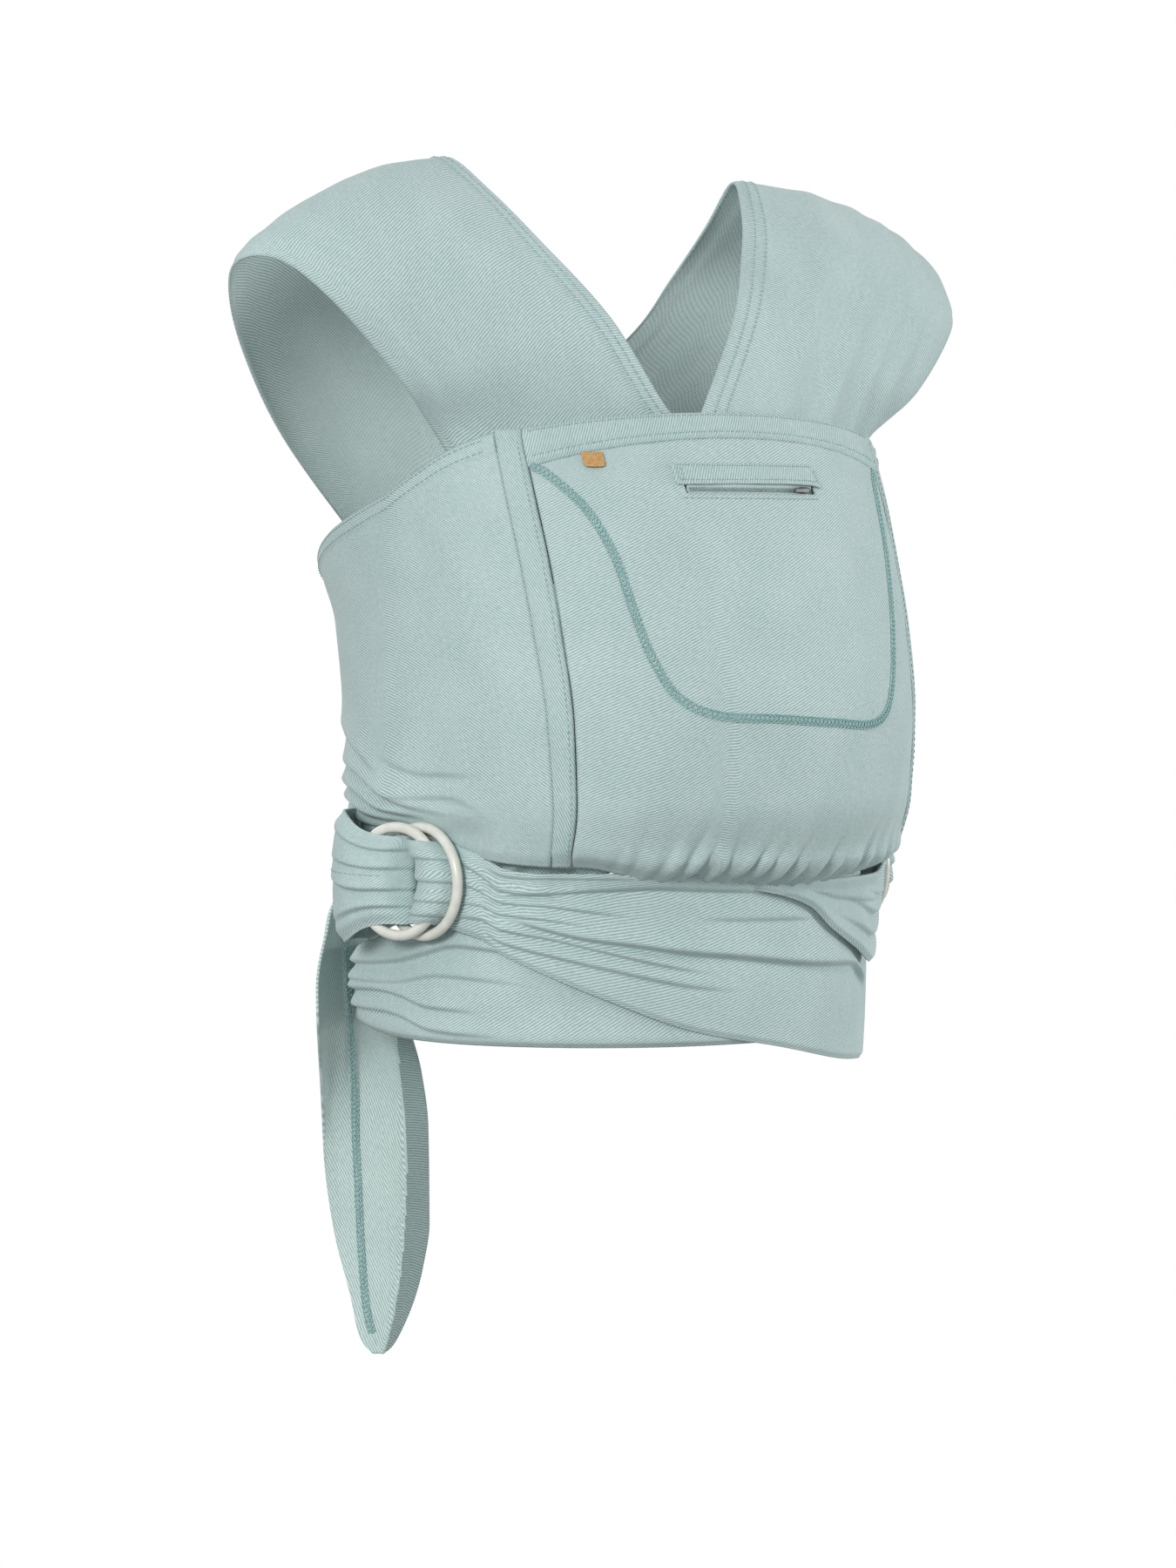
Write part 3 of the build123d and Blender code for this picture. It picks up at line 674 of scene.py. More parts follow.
# Each gather: angle at the bottom edge, height it reaches, depth, half width, lean.
GATHERS = [
    (-40.5, 16, 0.8, 1.3, 0.02), (-36.0, 22, 1.0, 1.2, -0.02), (-30.5, 16, 1.1, 1.3, 0.03),
    (-25.5, 26, 1.5, 1.3, 0.04), (-20.8, 15, 1.8, 1.1, 0.05), (-14.8, 22, 1.9, 1.2, -0.04),
    (-10.2, 34, 1.7, 1.2, 0.10), (-5.0, 20, 1.9, 1.2, 0.05), (0.2, 30, 1.9, 1.3, 0.06),
    (5.6, 16, 1.5, 1.2, -0.02), (10.8, 24, 1.8, 1.2, 0.05), (16.5, 15, 1.6, 1.4, 0.0),
    (22.5, 26, 1.8, 1.4, 0.06), (28.5, 15, 1.5, 1.4, 0.0), (34.0, 20, 1.6, 1.4, 0.05),
    (40.0, 14, 1.3, 1.4, 0.0),
]


def gathers(angle, rise):
    total = 0.0
    for centre, reach, depth, width, lean in GATHERS:
        strength = depth * np.exp(-np.maximum(rise, 0) / (reach * 0.62))
        spread = width * (0.8 + np.maximum(rise, 0) / 30.0)
        off = angle - centre - lean * rise
        total = total + strength * (bell(off, 0, spread) - 0.75 * bell(off, 1.75 * spread, 0.55 * spread))
    return total


SLOT_LOW, SLOT_HIGH = 207.9, 212.6
SLOT_SHARES = (0.80, 0.82)
SLOT_HALF = 16.0


def panel_place(s, t):
    angle = mix(-PANEL_EDGE + 0.1, PANEL_EDGE - 0.1, t)
    bottom = panel_bottom(angle)
    low, high = SLOT_SHARES
    z = np.where(s < low, mix(bottom, SLOT_LOW, s / low), mix(SLOT_LOW, SLOT_HIGH, (s - low) / (high - low)))
    z = np.where(s > high, mix(SLOT_HIGH, panel_seam(angle), (s - high) / (1 - high)), z)
    rise = z - bottom
    loose = mix(0.45, 1.0, ramp(angle, -38, -24))
    lift = gathers(angle, rise) * 2.9 * loose * mix(0.5, 1.0, ramp(rise, 0, 6))
    lift = lift + loose * 3.6 * bell(rise, 9, 7.5) - 6.4 * fall(rise, 0.0, 7.5) ** 1.4
    lift = lift + slack(angle * MM_PER_DEGREE, z, 0.7) * ramp(rise, 10, 60) * fall(z, 190, 232)
    side = PANEL_EDGE - np.abs(angle)
    lift = lift - 0.9 * fall(side, 0.0, 0.9)
    # soft vertical pull lines over the zip and the pocket's lower corner
    lift = lift + 0.5 * bell(angle, 20 + (z - 150) * 0.05, 3.0) * bell(z, 150, 50)
    lift = lift - 0.35 * (bell(z, SLOT_LOW - 1.6, 0.8)) * (np.abs(angle) < SLOT_HALF + 2)
    return on_body(angle * panel_lean(z), z, lift)


def make_panel():
    low, high = SLOT_SHARES
    s = np.concatenate([
        np.linspace(0, 0.14, 36)[:-1], np.linspace(0.14, low, 96)[:-1],
        np.linspace(low, high, 4)[:-1], np.linspace(high, 1, 18),
    ])
    slot_end = SLOT_HALF / PANEL_SPAN
    t = np.unique(np.concatenate([np.linspace(0, 1, 193), [0.5 - slot_end, 0.5 + slot_end]]))
    outer = surface(panel_place, s, t)
    angle = mix(-PANEL_EDGE + 0.1, PANEL_EDGE - 0.1, (t[:-1] + t[1:]) / 2)
    centre = (s[:-1] + s[1:]) / 2
    slot = ((centre > low) & (centre < high))[:, None] & (np.abs(angle) < SLOT_HALF)[None, :]
    obj = cloth("support_panel", outer, CLOTH, CLOTHS, keep=~slot, even=True)
    placed(obj, "cloth", "front_panel")
    reach = 17.2 / PANEL_SPAN
    rows = [(low - 0.010, np.linspace(0.5 - reach, 0.5 + reach, 120))]
    sew("pocket_mouth_stitches", sewn(panel_place, rows, (0, 0, 210)))


def band_place(s, t):
    angle = mix(-PANEL_EDGE, PANEL_EDGE, t)
    z = mix(panel_seam(angle), panel_top(angle) + 0.4, s)
    lift = 1.2 * ramp(s, -0.02, 0.16) + 0.35 * np.sin(np.pi * s) - 2.3 * ramp(s, 0.80, 1.0) ** 2
    lift = lift + 0.25 * np.sin(angle * 0.9 + 3 * np.sin(angle * 0.17)) * (1 - s) ** 0.5
    lift = lift - 0.6 * bell(s, 0.26, 0.05)
    return on_body(angle * panel_lean(z), z, lift)


def make_top_band():
    outer = surface(band_place, 22, 240)
    obj = cloth("top_band", outer, 2.2, (HEM, BACK))
    placed(obj, "cloth", "panel_top_band")
    t = np.linspace(0.01, 0.99, 260)
    rows = [(0.26, t), (0.90, t)]
    sew("top_band_stitches", sewn(band_place, rows, (0, 0, 240)))


def side_band_end(z):
    return 47.7 + (z - 15.0) / 226.0 * 6.9


def side_band_place(side):
    def place(s, t):
        low, high = panel_bottom(side * PANEL_EDGE), panel_top(PANEL_EDGE) + 0.4
        z = mix(low, high, s)
        start = PANEL_EDGE * panel_lean(z) + 0.05
        angle = mix(start, side_band_end(z), t)
        lift = 0.35 + 0.5 * np.sin(np.pi * np.clip(t, 0, 1)) - 1.1 * fall(t, 0.0, 0.12)
        lift = lift - 0.75 * ramp(t, 0.8, 1.0) + 0.25 * np.sin(z / 5.1) * bell(t, 0.12, 0.12)
        lift = lift - 3.4 * fall(z - low, 0.0, 9.0) - 1.6 * ramp(s, 0.985, 1.0)
        lift = lift + 0.5 * np.sin(z / 19.0 + 1.0) * bell(t, 0.6, 0.3)
        return on_body(side * angle, z, lift)

    return place


def make_side_bands():
    for name, side in (("right", -1), ("left", 1)):
        place = side_band_place(side)
        outer = surface(place, 200, 15)
        obj = cloth(f"side_band_{name}", outer, 1.8, (HEM, BACK))
        placed(obj, "cloth", f"panel_side_band_{name}")
        s = np.linspace(0.01, 0.985, 400)
        found = sewn(place, [(s, 0.2)], (0, 0, 120), length=2.2, gap=1.1)
        sew(f"side_band_{name}_stitches", found, radius=0.26)


# ---- pocket and zip ----------------------------------------------------------

POCKET_ROUTE = [
    (-47.6, 222), (-44, 217), (-38, 200), (-34.5, 176), (-33, 148), (-31, 124), (-27, 104), (-19, 94.5),
    (-6, 92.5), (8, 90), (20, 88.5), (27, 95), (31.5, 115), (36, 146), (39.5, 175), (42, 203), (44, 216),
    (47.6, 224),
]


def panel_spot(angle, z, lift):
    """Points over the panel's own surface."""
    bottom = panel_bottom(angle)
    t = (angle + PANEL_EDGE - 0.1) / PANEL_SPAN
    low, high = SLOT_SHARES
    s = np.where(z < SLOT_LOW, (z - bottom) / (SLOT_LOW - bottom) * low, low + (z - SLOT_LOW) / 4.7 * 0.02)
    s = np.where(z > SLOT_HIGH, high + (z - SLOT_HIGH) / (panel_seam(angle) - SLOT_HIGH) * (1 - high), s)
    s, t = np.clip(s, 0, 1), np.clip(t, 0, 1)
    points, out = path_on(panel_place, s, t, (0, 0, 150))
    return points + out * lift, out


def cover_stitch(name, middle, out, width, pitch=2.6):
    """Cover stitch: straight rows of needle thread, with loops crossing between them."""
    run = lengths(middle, 0)
    even = np.linspace(0, run[-1], max(int(run[-1] / 0.7), 8))
    points, outs = along_line(even, run, middle), along_line(even, run, out)
    outs /= np.linalg.norm(outs, axis=-1, keepdims=True)
    tangent = np.gradient(points, axis=0)
    tangent /= np.linalg.norm(tangent, axis=-1, keepdims=True)
    side = np.cross(tangent, outs)
    lines, ups = [], []
    for share in (-0.5, 0.0, 0.5):
        more, more_ups = stitches(points + side * (share * width), outs, 2.3, 0.5, 0.05, 0.5)
        lines += more
        ups += more_ups
    for phase in (0.0, 0.5):
        turn = 2 * np.pi * (even / pitch / 2 + phase)
        swing = np.arcsin(np.sin(turn)) / (np.pi / 2)
        weave = points + side * (swing * width * 0.52)[:, None]
        weave = weave + outs * (0.28 + 0.12 * np.cos(2 * turn))[:, None]
        lines.append(weave)
        ups.append(outs)
    return tubes(name, lines, ups, 0.31, THREAD, sides=5)


def make_pocket():
    fine = refined(list(np.array(POCKET_ROUTE, float)), 14)
    points, out = panel_spot(fine[:, 0], fine[:, 1], 0.15)
    obj = cover_stitch("pocket_cover_seam", points, out, 4.2)
    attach(obj, "wrap")
    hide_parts("pocket_cover_stitch")

    def bag_place(s, t):
        z = mix(99.0, 226.0, s)
        left = curve(z, [(94, -19), (104, -26), (124, -30), (148, -32), (176, -33.5), (200, -37), (217, -42)])
        right = curve(z, [(94, 20), (104, 24), (116, 25.5), (146, 30), (175, 34), (203, 38), (214, 40)])
        angle = mix(left + 1.5, right - 1.5, t)
        return on_body(angle, z, -3.1 + slack(angle * 2, z, 0.3))

    bag = cloth("pocket_bag_cloth", surface(bag_place, 60, 60), 0.8, CLOTHS)
    placed(bag, "cloth", "pocket_bag")

    def lining_place(s, t):
        angle = mix(-45.0, 45.0, t)
        z = mix(26.0, panel_top(angle) - 4.0, s)
        return on_body(angle * panel_lean(z), z, -5.0 + slack(angle * 2, z, 0.4))

    lining = cloth("panel_lining_cloth", surface(lining_place, 80, 90), 0.9, (BACK, BACK))
    placed(lining, "cloth", "front_panel_lining")


WELT_LOW = [(-17.6, 212.5), (-6, 213.0), (6, 213.3), (14, 212.8), (17.6, 211.2)]


def welt_place(s, t):
    angle = mix(-17.4, 17.4, t)
    low = curve(angle, WELT_LOW)
    z = mix(low, 223.6, s)
    lift = 1.55 + 0.5 * bell(s, 0.12, 0.14) + 0.3 * np.sin(angle * 0.5 + 1) * (1 - s)
    lift = lift - 0.9 * ramp(s, 0.9, 1.0) - 0.8 * fall(t, 0.0, 0.02) - 0.8 * ramp(t, 0.98, 1.0)
    lift = lift + 0.9 * bell(angle, 9, 7) * (1 - s) ** 2
    return on_body(angle, z, lift)


def make_welt():
    outer = surface(welt_place, 20, 110)
    obj = cloth("pocket_welt_strip", outer, 1.0, (HEM, HEM))
    placed(obj, "cloth", "pocket_welt", body="welt")
    t = np.linspace(0.02, 0.98, 150)
    s = np.linspace(0.14, 0.9, 24)
    rows = [
        (0.90, t), (0.20, t),
        (s, 0.025), (s, 0.975), (s, 0.052),
    ]
    found = sewn(welt_place, rows, (0, 0, 215), length=2.2, gap=0.7)
    sew("pocket_welt_stitches", found, radius=0.26, body="welt")


def zip_arc():
    width = float(curve(210.0, WIDTHS))
    depth = float(curve(210.0, FRONTS))
    radius = width**2 / depth
    return radius - depth, radius


def on_zip(angle, z, lift):
    """Points on the zip's level arc; the angle is about the arc's own centre."""
    centre, radius = zip_arc()
    angle, z, lift = np.broadcast_arrays(np.asarray(angle, float), z, lift)
    turn = np.radians(angle)
    return np.stack([(radius + lift) * np.sin(turn), centre - (radius + lift) * np.cos(turn), z * 1.0], -1)


def make_zip():
    half = 12.4

    def tape_place(s, t):
        return on_zip(mix(-half, half, t), mix(206.4, 213.6, s), -1.5)

    tape = cloth("zip_tape_strip", surface(tape_place, 5, 90), 0.5, (TAPE, TAPE), inside=(0, 0, 210))
    placed(tape, "zip_tape", "pocket_zip_tape")
    lines, outs = [], []
    for angle in np.arange(-half + 0.4, half - 0.3, 0.42):
        for shift, sign in ((0.0, 1), (0.21, -1)):
            z = 210.0 + sign * np.array([1.15, 0.55, -0.15])
            points = on_zip(np.full(3, angle + shift), z, np.array([-1.3, -0.85, -1.0]))
            lines.append(points)
            outs.append(points * 0 + np.array([0.0, -1.0, 0.15]))
    coil = tubes("zip_coil_teeth", lines, outs, 0.3, COIL, sides=6)
    placed(coil, "zip_tape", "pocket_zip_teeth")
    make_slider()


def box_mesh(name, place, size, round_share, material):
    """Rounded block: a subdivided cube pushed towards a superellipsoid."""
    made = bmesh.new()
    bmesh.ops.create_cube(made, size=2.0)
    bmesh.ops.subdivide_edges(made, edges=made.edges, cuts=7, use_grid_fill=True)
    power = 2 + 6 * (1 - round_share)
    for v in made.verts:
        p = np.array(v.co)
        length = np.sum(np.abs(p) ** power) ** (1 / power)
        v.co = Vector(p / length * np.array(size) / 2 * MM)
    mesh = bpy.data.meshes.new(name)
    made.to_mesh(mesh)
    made.free()
    mesh.polygons.foreach_set("use_smooth", [True] * len(mesh.polygons))
    mesh.materials.append(material)
    obj = bpy.data.objects.new(name, mesh)
    bpy.context.scene.collection.objects.link(obj)
    obj.matrix_world = place
    return obj


def make_slider():
    low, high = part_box("pocket_zip_slider")
    centre = (Vector(low) + Vector(high)) / 2
    arc, radius = zip_arc()
    turn = float(np.arctan2(centre.x, arc * MM - centre.y))
    out = Vector((np.sin(turn), -np.cos(turn), 0))
    side = Vector((np.cos(turn), np.sin(turn), 0))
    axes = Matrix((side, -out, Vector((0, 0, 1)))).transposed().to_4x4()
    base = Vector((0, arc * MM, 0.210)) + out * (radius * MM)
    parts = []
    for name, shift, size, softness in (
        ("zip_slider_body", (0.6, -0.1, 0.0), (7.0, 1.7, 3.3), 0.35),
        ("zip_slider_bridge", (0.4, 0.9, 0.0), (3.2, 0.9, 1.5), 0.6),
        ("zip_slider_pull", (-3.6, 1.25, -0.1), (9.2, 0.75, 2.3), 0.35),
    ):
        spot = base + side * (shift[0] * MM) + out * (shift[1] * MM) + Vector((0, 0, shift[2] * MM))
        matrix = Matrix.Translation(spot) @ axes
        parts.append(box_mesh(name, matrix, size, softness, ENAMEL))
    for obj in parts:
        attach(obj, "zip_runner")
    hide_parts("pocket_zip_slider")


def make_tab():
    seam = float(panel_seam(-33.0)) - 0.2

    def tab_place(s, t):
        rounded = 0.35 * bell(s, 0.0, 0.12)
        angle = mix(-35.5 + rounded, -31.0 - rounded, t)
        z = mix(seam - 7.4, seam, s) - 0.25 * np.sin(np.pi * t)
        lift = 2.0 + 0.35 * bell(s, 0.0, 0.2) - 0.5 * ramp(s, 0.8, 1.0) - 0.25 * (2 * t - 1) ** 4
        return on_body(angle, z, lift)

    obj = cloth("side_tab_leather", surface(tab_place, 26, 30), 1.3, (LEATHER, LEATHER), inside=(0, 0, 220))
    placed(obj, "tab_leather", "side_tab", body="tab")
    t = np.linspace(0.1, 0.9, 40)
    found = sewn(tab_place, [(0.85, t)], (0, 0, 220), length=1.5, gap=0.5)
    sew("side_tab_stitches", found, radius=0.2, body="tab")


# ---- side wings --------------------------------------------------------------


def wing_top(angle):
    return curve(angle, [(50, 242), (68, 230), (83, 216), (100, 199), (115, 186), (150, 152), (200, 128)])


def wing_bottom(angle):
    return curve(angle, [(47, 15), (60, 17), (70, 20), (76, 22), (112, 24), (150, 24), (200, 20)])


WING_START, WING_END = 54.0, 203.0
WING_FOLDS = [
    ([(58, 34), (72, 50), (88, 49), (106, 53)], 1.6, 9.0, 16, 12),
    ([(70, 40), (86, 46), (102, 60), (124, 70)], 4.4, 8.0, 16, 16),
    ([(76, 38), (92, 42), (106, 51), (128, 58)], 5.0, 6.0, 10, 14),
    ([(82, 35), (98, 38), (110, 44), (130, 48)], 4.6, 5.0, 10, 14),
    ([(88, 31), (104, 33), (128, 37)], 4.0, 4.6, 8, 12),
    ([(90, 58), (104, 74), (118, 84), (132, 86)], 2.6, 9.0, 12, 10),
    ([(62, 62), (78, 62), (96, 72)], 1.6, 12.0, 12, 12),
]


def wing_place(side, base):
    def place(s, t):
        angle = mix(WING_START, WING_END, t)
        z = mix(wing_bottom(angle), wing_top(angle), s)
        start = side_band_end(z) + 0.05
        angle = angle + (start - WING_START) * (1 - t) ** 3
        lift = base + (-0.4 - base) * fall(angle, 54.8, 80)
        high = wing_top(angle)
        down = high - z
        lift = lift + 0.75 * fall(down, 9.2, 10.6) - 1.3 * fall(down, 0.0, 2.0)
        lift = lift + creases(angle, z, WING_FOLDS) * fall(angle, 125, 150)
        lift = lift + slack(angle * MM_PER_DEGREE, z, 1.1) * ramp(down, 12, 50) * ramp(angle, 56, 75)
        lift = lift - 2.0 * fall(z - wing_bottom(angle), 0.0, 7.0)
        lift = lift - 5.0 * fall(z, 30, 44) * ramp(angle, 58, 68) * fall(angle, 118, 130)
        # pulls that run from the panel's seam down to the rings
        for offset, height in ((0.0, 0.7), (17.0, 0.6), (36.0, 0.5)):
            line = 60 + offset * 0.4 + (150 - z) * (0.10 + offset * 0.001)
            lift = lift + height * bell(angle, line, 3.2) * bell(z, 80, 45)
        return on_body(side * angle, z, lift)

    return place


def make_wings():
    for name, side, base in (("right", -1, -5.4), ("left", 1, -1.4)):
        place = wing_place(side, base)
        # rows are closer together in the folds over the rings and in the hem
        fold_rows, plain_rows = np.linspace(0, 0.35, 84), np.linspace(0.35, 0.93, 60)
        s = np.concatenate([fold_rows[:-1], plain_rows[:-1], np.linspace(0.93, 1, 14)])
        outer = surface(place, s, 190)
        obj = cloth(f"wing_{name}_cloth", outer, CLOTH, CLOTHS)
        placed(obj, "cloth", f"wing_{name}", f"wing_{name}_binding")
        t = np.linspace(0.02, 0.98, 500)
        angle = mix(WING_START, WING_END, t)
        tall = wing_top(angle) - wing_bottom(angle)
        rows = [(1 - 8.2 / tall, t), (1 - 2.6 / tall, t)]
        sew(f"wing_{name}_hem_stitches", sewn(place, rows, (0, 0, 150)), radius=0.3)


# ---- hips: rings, loops and the straps through them ---------------------------


def hip_axes():
    base = on_body(-HIP_ANGLE, 0.0, HIP_LIFT) + np.array([0, 0, HIP_HEIGHT])
    ahead = on_body(-HIP_ANGLE + 1, 0.0, HIP_LIFT) - on_body(-HIP_ANGLE - 1, 0.0, HIP_LIFT)
    ahead = ahead / np.linalg.norm(ahead)
    out = np.array([ahead[1], -ahead[0], 0.0])
    return base, ahead, out if out[0] < 0 else -out


HIP_BASE, HIP_AHEAD, HIP_OUT = hip_axes()


def at_hip(along, away, z, side=-1):
    """Points at a hip: forward along the body, away from it and up."""
    along, away, z = np.broadcast_arrays(np.asarray(along, float), away, z)
    spot = HIP_BASE + along[..., None] * HIP_AHEAD + away[..., None] * HIP_OUT
    spot = spot + z[..., None] * np.array([0, 0, 1.0])
    return spot * np.array([-side, 1, 1])


def make_ring(name, place, side, body, cad):
    """Ring of round wire with a faint weld and slightly uneven coating."""
    along, away, tilt = place
    centre = at_hip(along, away, 0.0, side)
    turn = np.radians(tilt)
    axis = (HIP_OUT * np.cos(turn) - HIP_AHEAD * np.sin(turn)) * np.array([-side, 1, 1])
    up = np.array([0, 0, 1.0])
    across = np.cross(up, axis)
    around, small = 120, 24
    u = np.linspace(0, 2 * np.pi, around, endpoint=False)[:, None]
    v = np.linspace(0, 2 * np.pi, small, endpoint=False)[None, :]
    wire = RING_WIRE / 2 * (1 + 0.03 * bell(u, 4.4, 0.05))
    radius = RING_RADIUS + wire * np.cos(v)
    verts = (
        centre
        + (radius * np.cos(u))[..., None] * across
        + (radius * np.sin(u))[..., None] * up
        + (wire * np.sin(v))[..., None] * axis
    ).reshape(-1, 3)
    faces = []
    for i in range(around):
        for k in range(small):
            j, m = (i + 1) % around, (k + 1) % small
            faces.append((i * small + k, j * small + k, j * small + m, i * small + m))
    flip = np.dot(np.cross(across, up), axis) < 0
    faces = [f[::-1] for f in faces] if flip else faces
    obj = make_object(name, verts, faces, None, None, [SATIN])
    placed(obj, "ring_metal", cad, body=body)


TONGUE_PATH = [
    (0.5, 2.6), (3.6, 8.6), (8.0, 13.8), (14.0, 17.2), (20.5, 18),
    (25.6, 15.6), (27.4, 10), (29.5, 4.2), (35, 3.2), (41, 0.8),
]
ANCHOR_PATH = [
    (-68, -20), (-69.5, -10), (-65, 2), (-57, 12), (-47, 19.5), (-36, 23.5), (-25, 23.2),
    (-15, 19.8), (-7.5, 14.2), (-3.4, 7.5), (-6.5, 2), (-15, 0.2), (-30, -2.5), (-50, -9), (-62, -17),
]


def path_table(path, parts=16):
    points = refined([np.array(p, float) for p in path], parts)
    return lengths(points, 0), points


TONGUE, ANCHOR = path_table(TONGUE_PATH), path_table(ANCHOR_PATH)
TONGUE_LENGTH, ANCHOR_LENGTH = float(TONGUE[0][-1]), float(ANCHOR[0][-1])


def on_path(run, points, wanted, axis):
    """One coordinate of a path at a running length; beyond its end it goes straight on."""
    last = (wanted - run[-1]) * (wanted > run[-1])
    slope = (points[-1, axis] - points[-2, axis]) / (run[-1] - run[-2])
    return np.interp(wanted, run, points[:, axis]) + last * slope


def path_frame(table, run):
    """Place on a path at a running length, and the unit direction of the path there."""
    along, away = (on_path(*table, run, axis) for axis in (0, 1))
    ahead = on_path(*table, run + 0.5, 0) - along
    aside = on_path(*table, run + 0.5, 1) - away
    size = np.maximum(np.hypot(ahead, aside), 1e-6)
    return along, away, ahead / size, aside / size


def arc_shift(z):
    """How far a ring's arc has moved back at a height above or below its middle."""
    return np.sqrt(np.maximum(RING_RADIUS**2 - z**2, 4.0)) - RING_RADIUS


# Where a strap leaves its rings and starts to open out, as an angle on the body.
FAN_START = -62.3


def fan_low(angle):
    return curve(angle, [(-62, -27), (-47, -41), (-33, -54), (-13, -71), (6, -80), (40, -94), (78, -99)])


def fan_high(angle):
    return curve(angle, [(-62, 16), (-50, 12.5), (0, 12), (38, 8), (52, -22), (60, -34), (78, -37)])


def left_low(angle):
    return curve(angle, [(-2, 3.0), (7, -1.5), (16, -8.5), (25, -21.5), (38, -34), (50, -43), (62, -33)])


def left_high(angle):
    return curve(angle, [(-2, 5.4), (46, 5.0), (62, 14)])


# Folds of the gathered strap: length along it from its end inside the rings, and share of its width.
RIGHT_FOLDS = [
    (
        [(0, 0.78), (40, 0.77), (64, 0.74), (127, 0.85), (161, 0.885), (215, 0.875), (300, 0.90)],
        4.0, 5.0, 4, 60,
    ),
    ([(0, 0.52), (40, 0.50), (63, 0.58), (101, 0.67), (150, 0.67)], 3.8, 4.6, 4, 44),
    ([(0, 0.28), (40, 0.26), (64, 0.44), (98, 0.54), (130, 0.555)], 3.4, 3.8, 4, 34),
    ([(0, 0.10), (40, 0.09), (64, 0.27), (109, 0.36), (145, 0.365), (196, 0.375)], 4.4, 4.6, 4, 46),
    (
        [(76, 0.45), (110, 0.435), (154, 0.47), (204, 0.485), (245, 0.475), (302, 0.50), (350, 0.52)],
        4.6, 10.0, 26, 24,
    ),
    ([(62, 0.90), (96, 0.94), (150, 0.955)], 2.6, 3.2, 10, 24),
    ([(62, 0.12), (104, 0.20), (150, 0.25), (215, 0.29)], 3.2, 5.5, 12, 60),
    ([(66, 0.66), (92, 0.76), (128, 0.78)], 2.4, 3.2, 10, 24),
    ([(180, 0.70), (240, 0.72), (330, 0.80)], 1.6, 10.0, 30, 40),
]
LEFT_FOLDS = [
    ([(0, 0.76), (40, 0.76), (64, 0.72), (120, 0.80)], 3.4, 5.0, 4, 40),
    ([(0, 0.50), (40, 0.50), (64, 0.50), (100, 0.55), (150, 0.7)], 3.4, 6.0, 4, 60),
    ([(0, 0.26), (40, 0.26), (64, 0.28), (120, 0.30), (160, 0.34)], 3.0, 5.0, 4, 60),
    ([(80, 0.72), (120, 0.66), (170, 0.60), (200, 0.52)], 1.8, 6.0, 14, 40),
]


def strap_through_rings(side, start, end, low, high, folds, base_lift):
    """Place function of a strap from inside the rings, over one and under the other,
    and then across the waist, where it opens out."""
    total = TONGUE_LENGTH + abs(end - start) * MM_PER_DEGREE

    def place(s, t):
        run = t * total
        angle = start + (run - TONGUE_LENGTH) / MM_PER_DEGREE * np.sign(end - start)
        opened = ramp(run, TONGUE_LENGTH - 26, TONGUE_LENGTH + 14)
        bottom = mix(-21.5, low(angle), opened)
        top = mix(22.0, high(angle), opened)
        z = mix(bottom, top, s)
        relief = 0.0
        for line, depth, reach, fade_in, fade_out in folds:
            weight = tapered(run, line[0][0] - 5.0, line[-1][0], fade_in, fade_out)
            distance = (s - curve(run, line)) * (top - bottom)
            near = mix(0.8, 1.0, ramp(run, 40, 80))
            relief = relief + weight * fold(distance, depth * near, reach * near, 0.8)
        puff = 1.6 * np.sin(np.pi * s) ** 0.7 * fall(run, 60, 110)
        relief = relief + slack(run, z, 0.8) * ramp(run, 90, 140)
        relief = relief - 1.4 * fall(np.minimum(s, 1 - s) * (top - bottom), 0.0, 3.2)
        along, away, ahead, aside = path_frame(TONGUE, run)
        hug = 1.06 - ramp(along, 33, 44) * 0.7
        squeeze = 1 - 0.75 * bell(along, 31.0, 4.0) * (run > 42)
        rings = at_hip(along + hug * arc_shift(z), away, z, side)
        push = (relief + puff) * squeeze * 0.75
        # each at_hip() holds the hip's own place, so the sum has it once too often
        rings = rings + at_hip(-aside * push, ahead * push, 0 * z, side)
        rings = rings - at_hip(0 * z, 0 * z, 0 * z, side)
        lift = base_lift(angle, z, relief) + puff * 0.6
        body = on_body(angle, z, lift)
        return mix(rings, body, ramp(run, TONGUE_LENGTH - 13, TONGUE_LENGTH + 12)[..., None])

    return place


def right_lift(angle, z, relief):
    """Lift of the wide strap over the body: under the left strap where that covers it."""
    under = ramp(z, -4, 6) * ramp(angle, -50, -43) * fall(angle, 44, 52)
    covered = ramp(z - left_low(angle), -9, 0) * ramp(angle, -4, 6)
    free = -3.2 - 2.6 * under - 1.2 * bell(z, 6, 9) * fall(angle, -60, -40) + relief
    return mix(free, -5.6 - 1.4 * ramp(z, -3, 4) + 0.1 * relief, covered)


def left_lift(angle, z, relief):
    rolled = 1.8 * bell(z - left_low(angle), 3.0, 4.0) - 1.0
    under_panel = 2.5 * ramp(z, -1, 4) * fall(angle, 44, 52)
    return -0.4 - under_panel + 1.4 * ramp(angle, 30, 50) + rolled + relief


def hip_point(along, away, side=-1):
    """A point at a hip in metres."""
    return tuple((at_hip(along, away, 0.0, side) * MM).tolist())


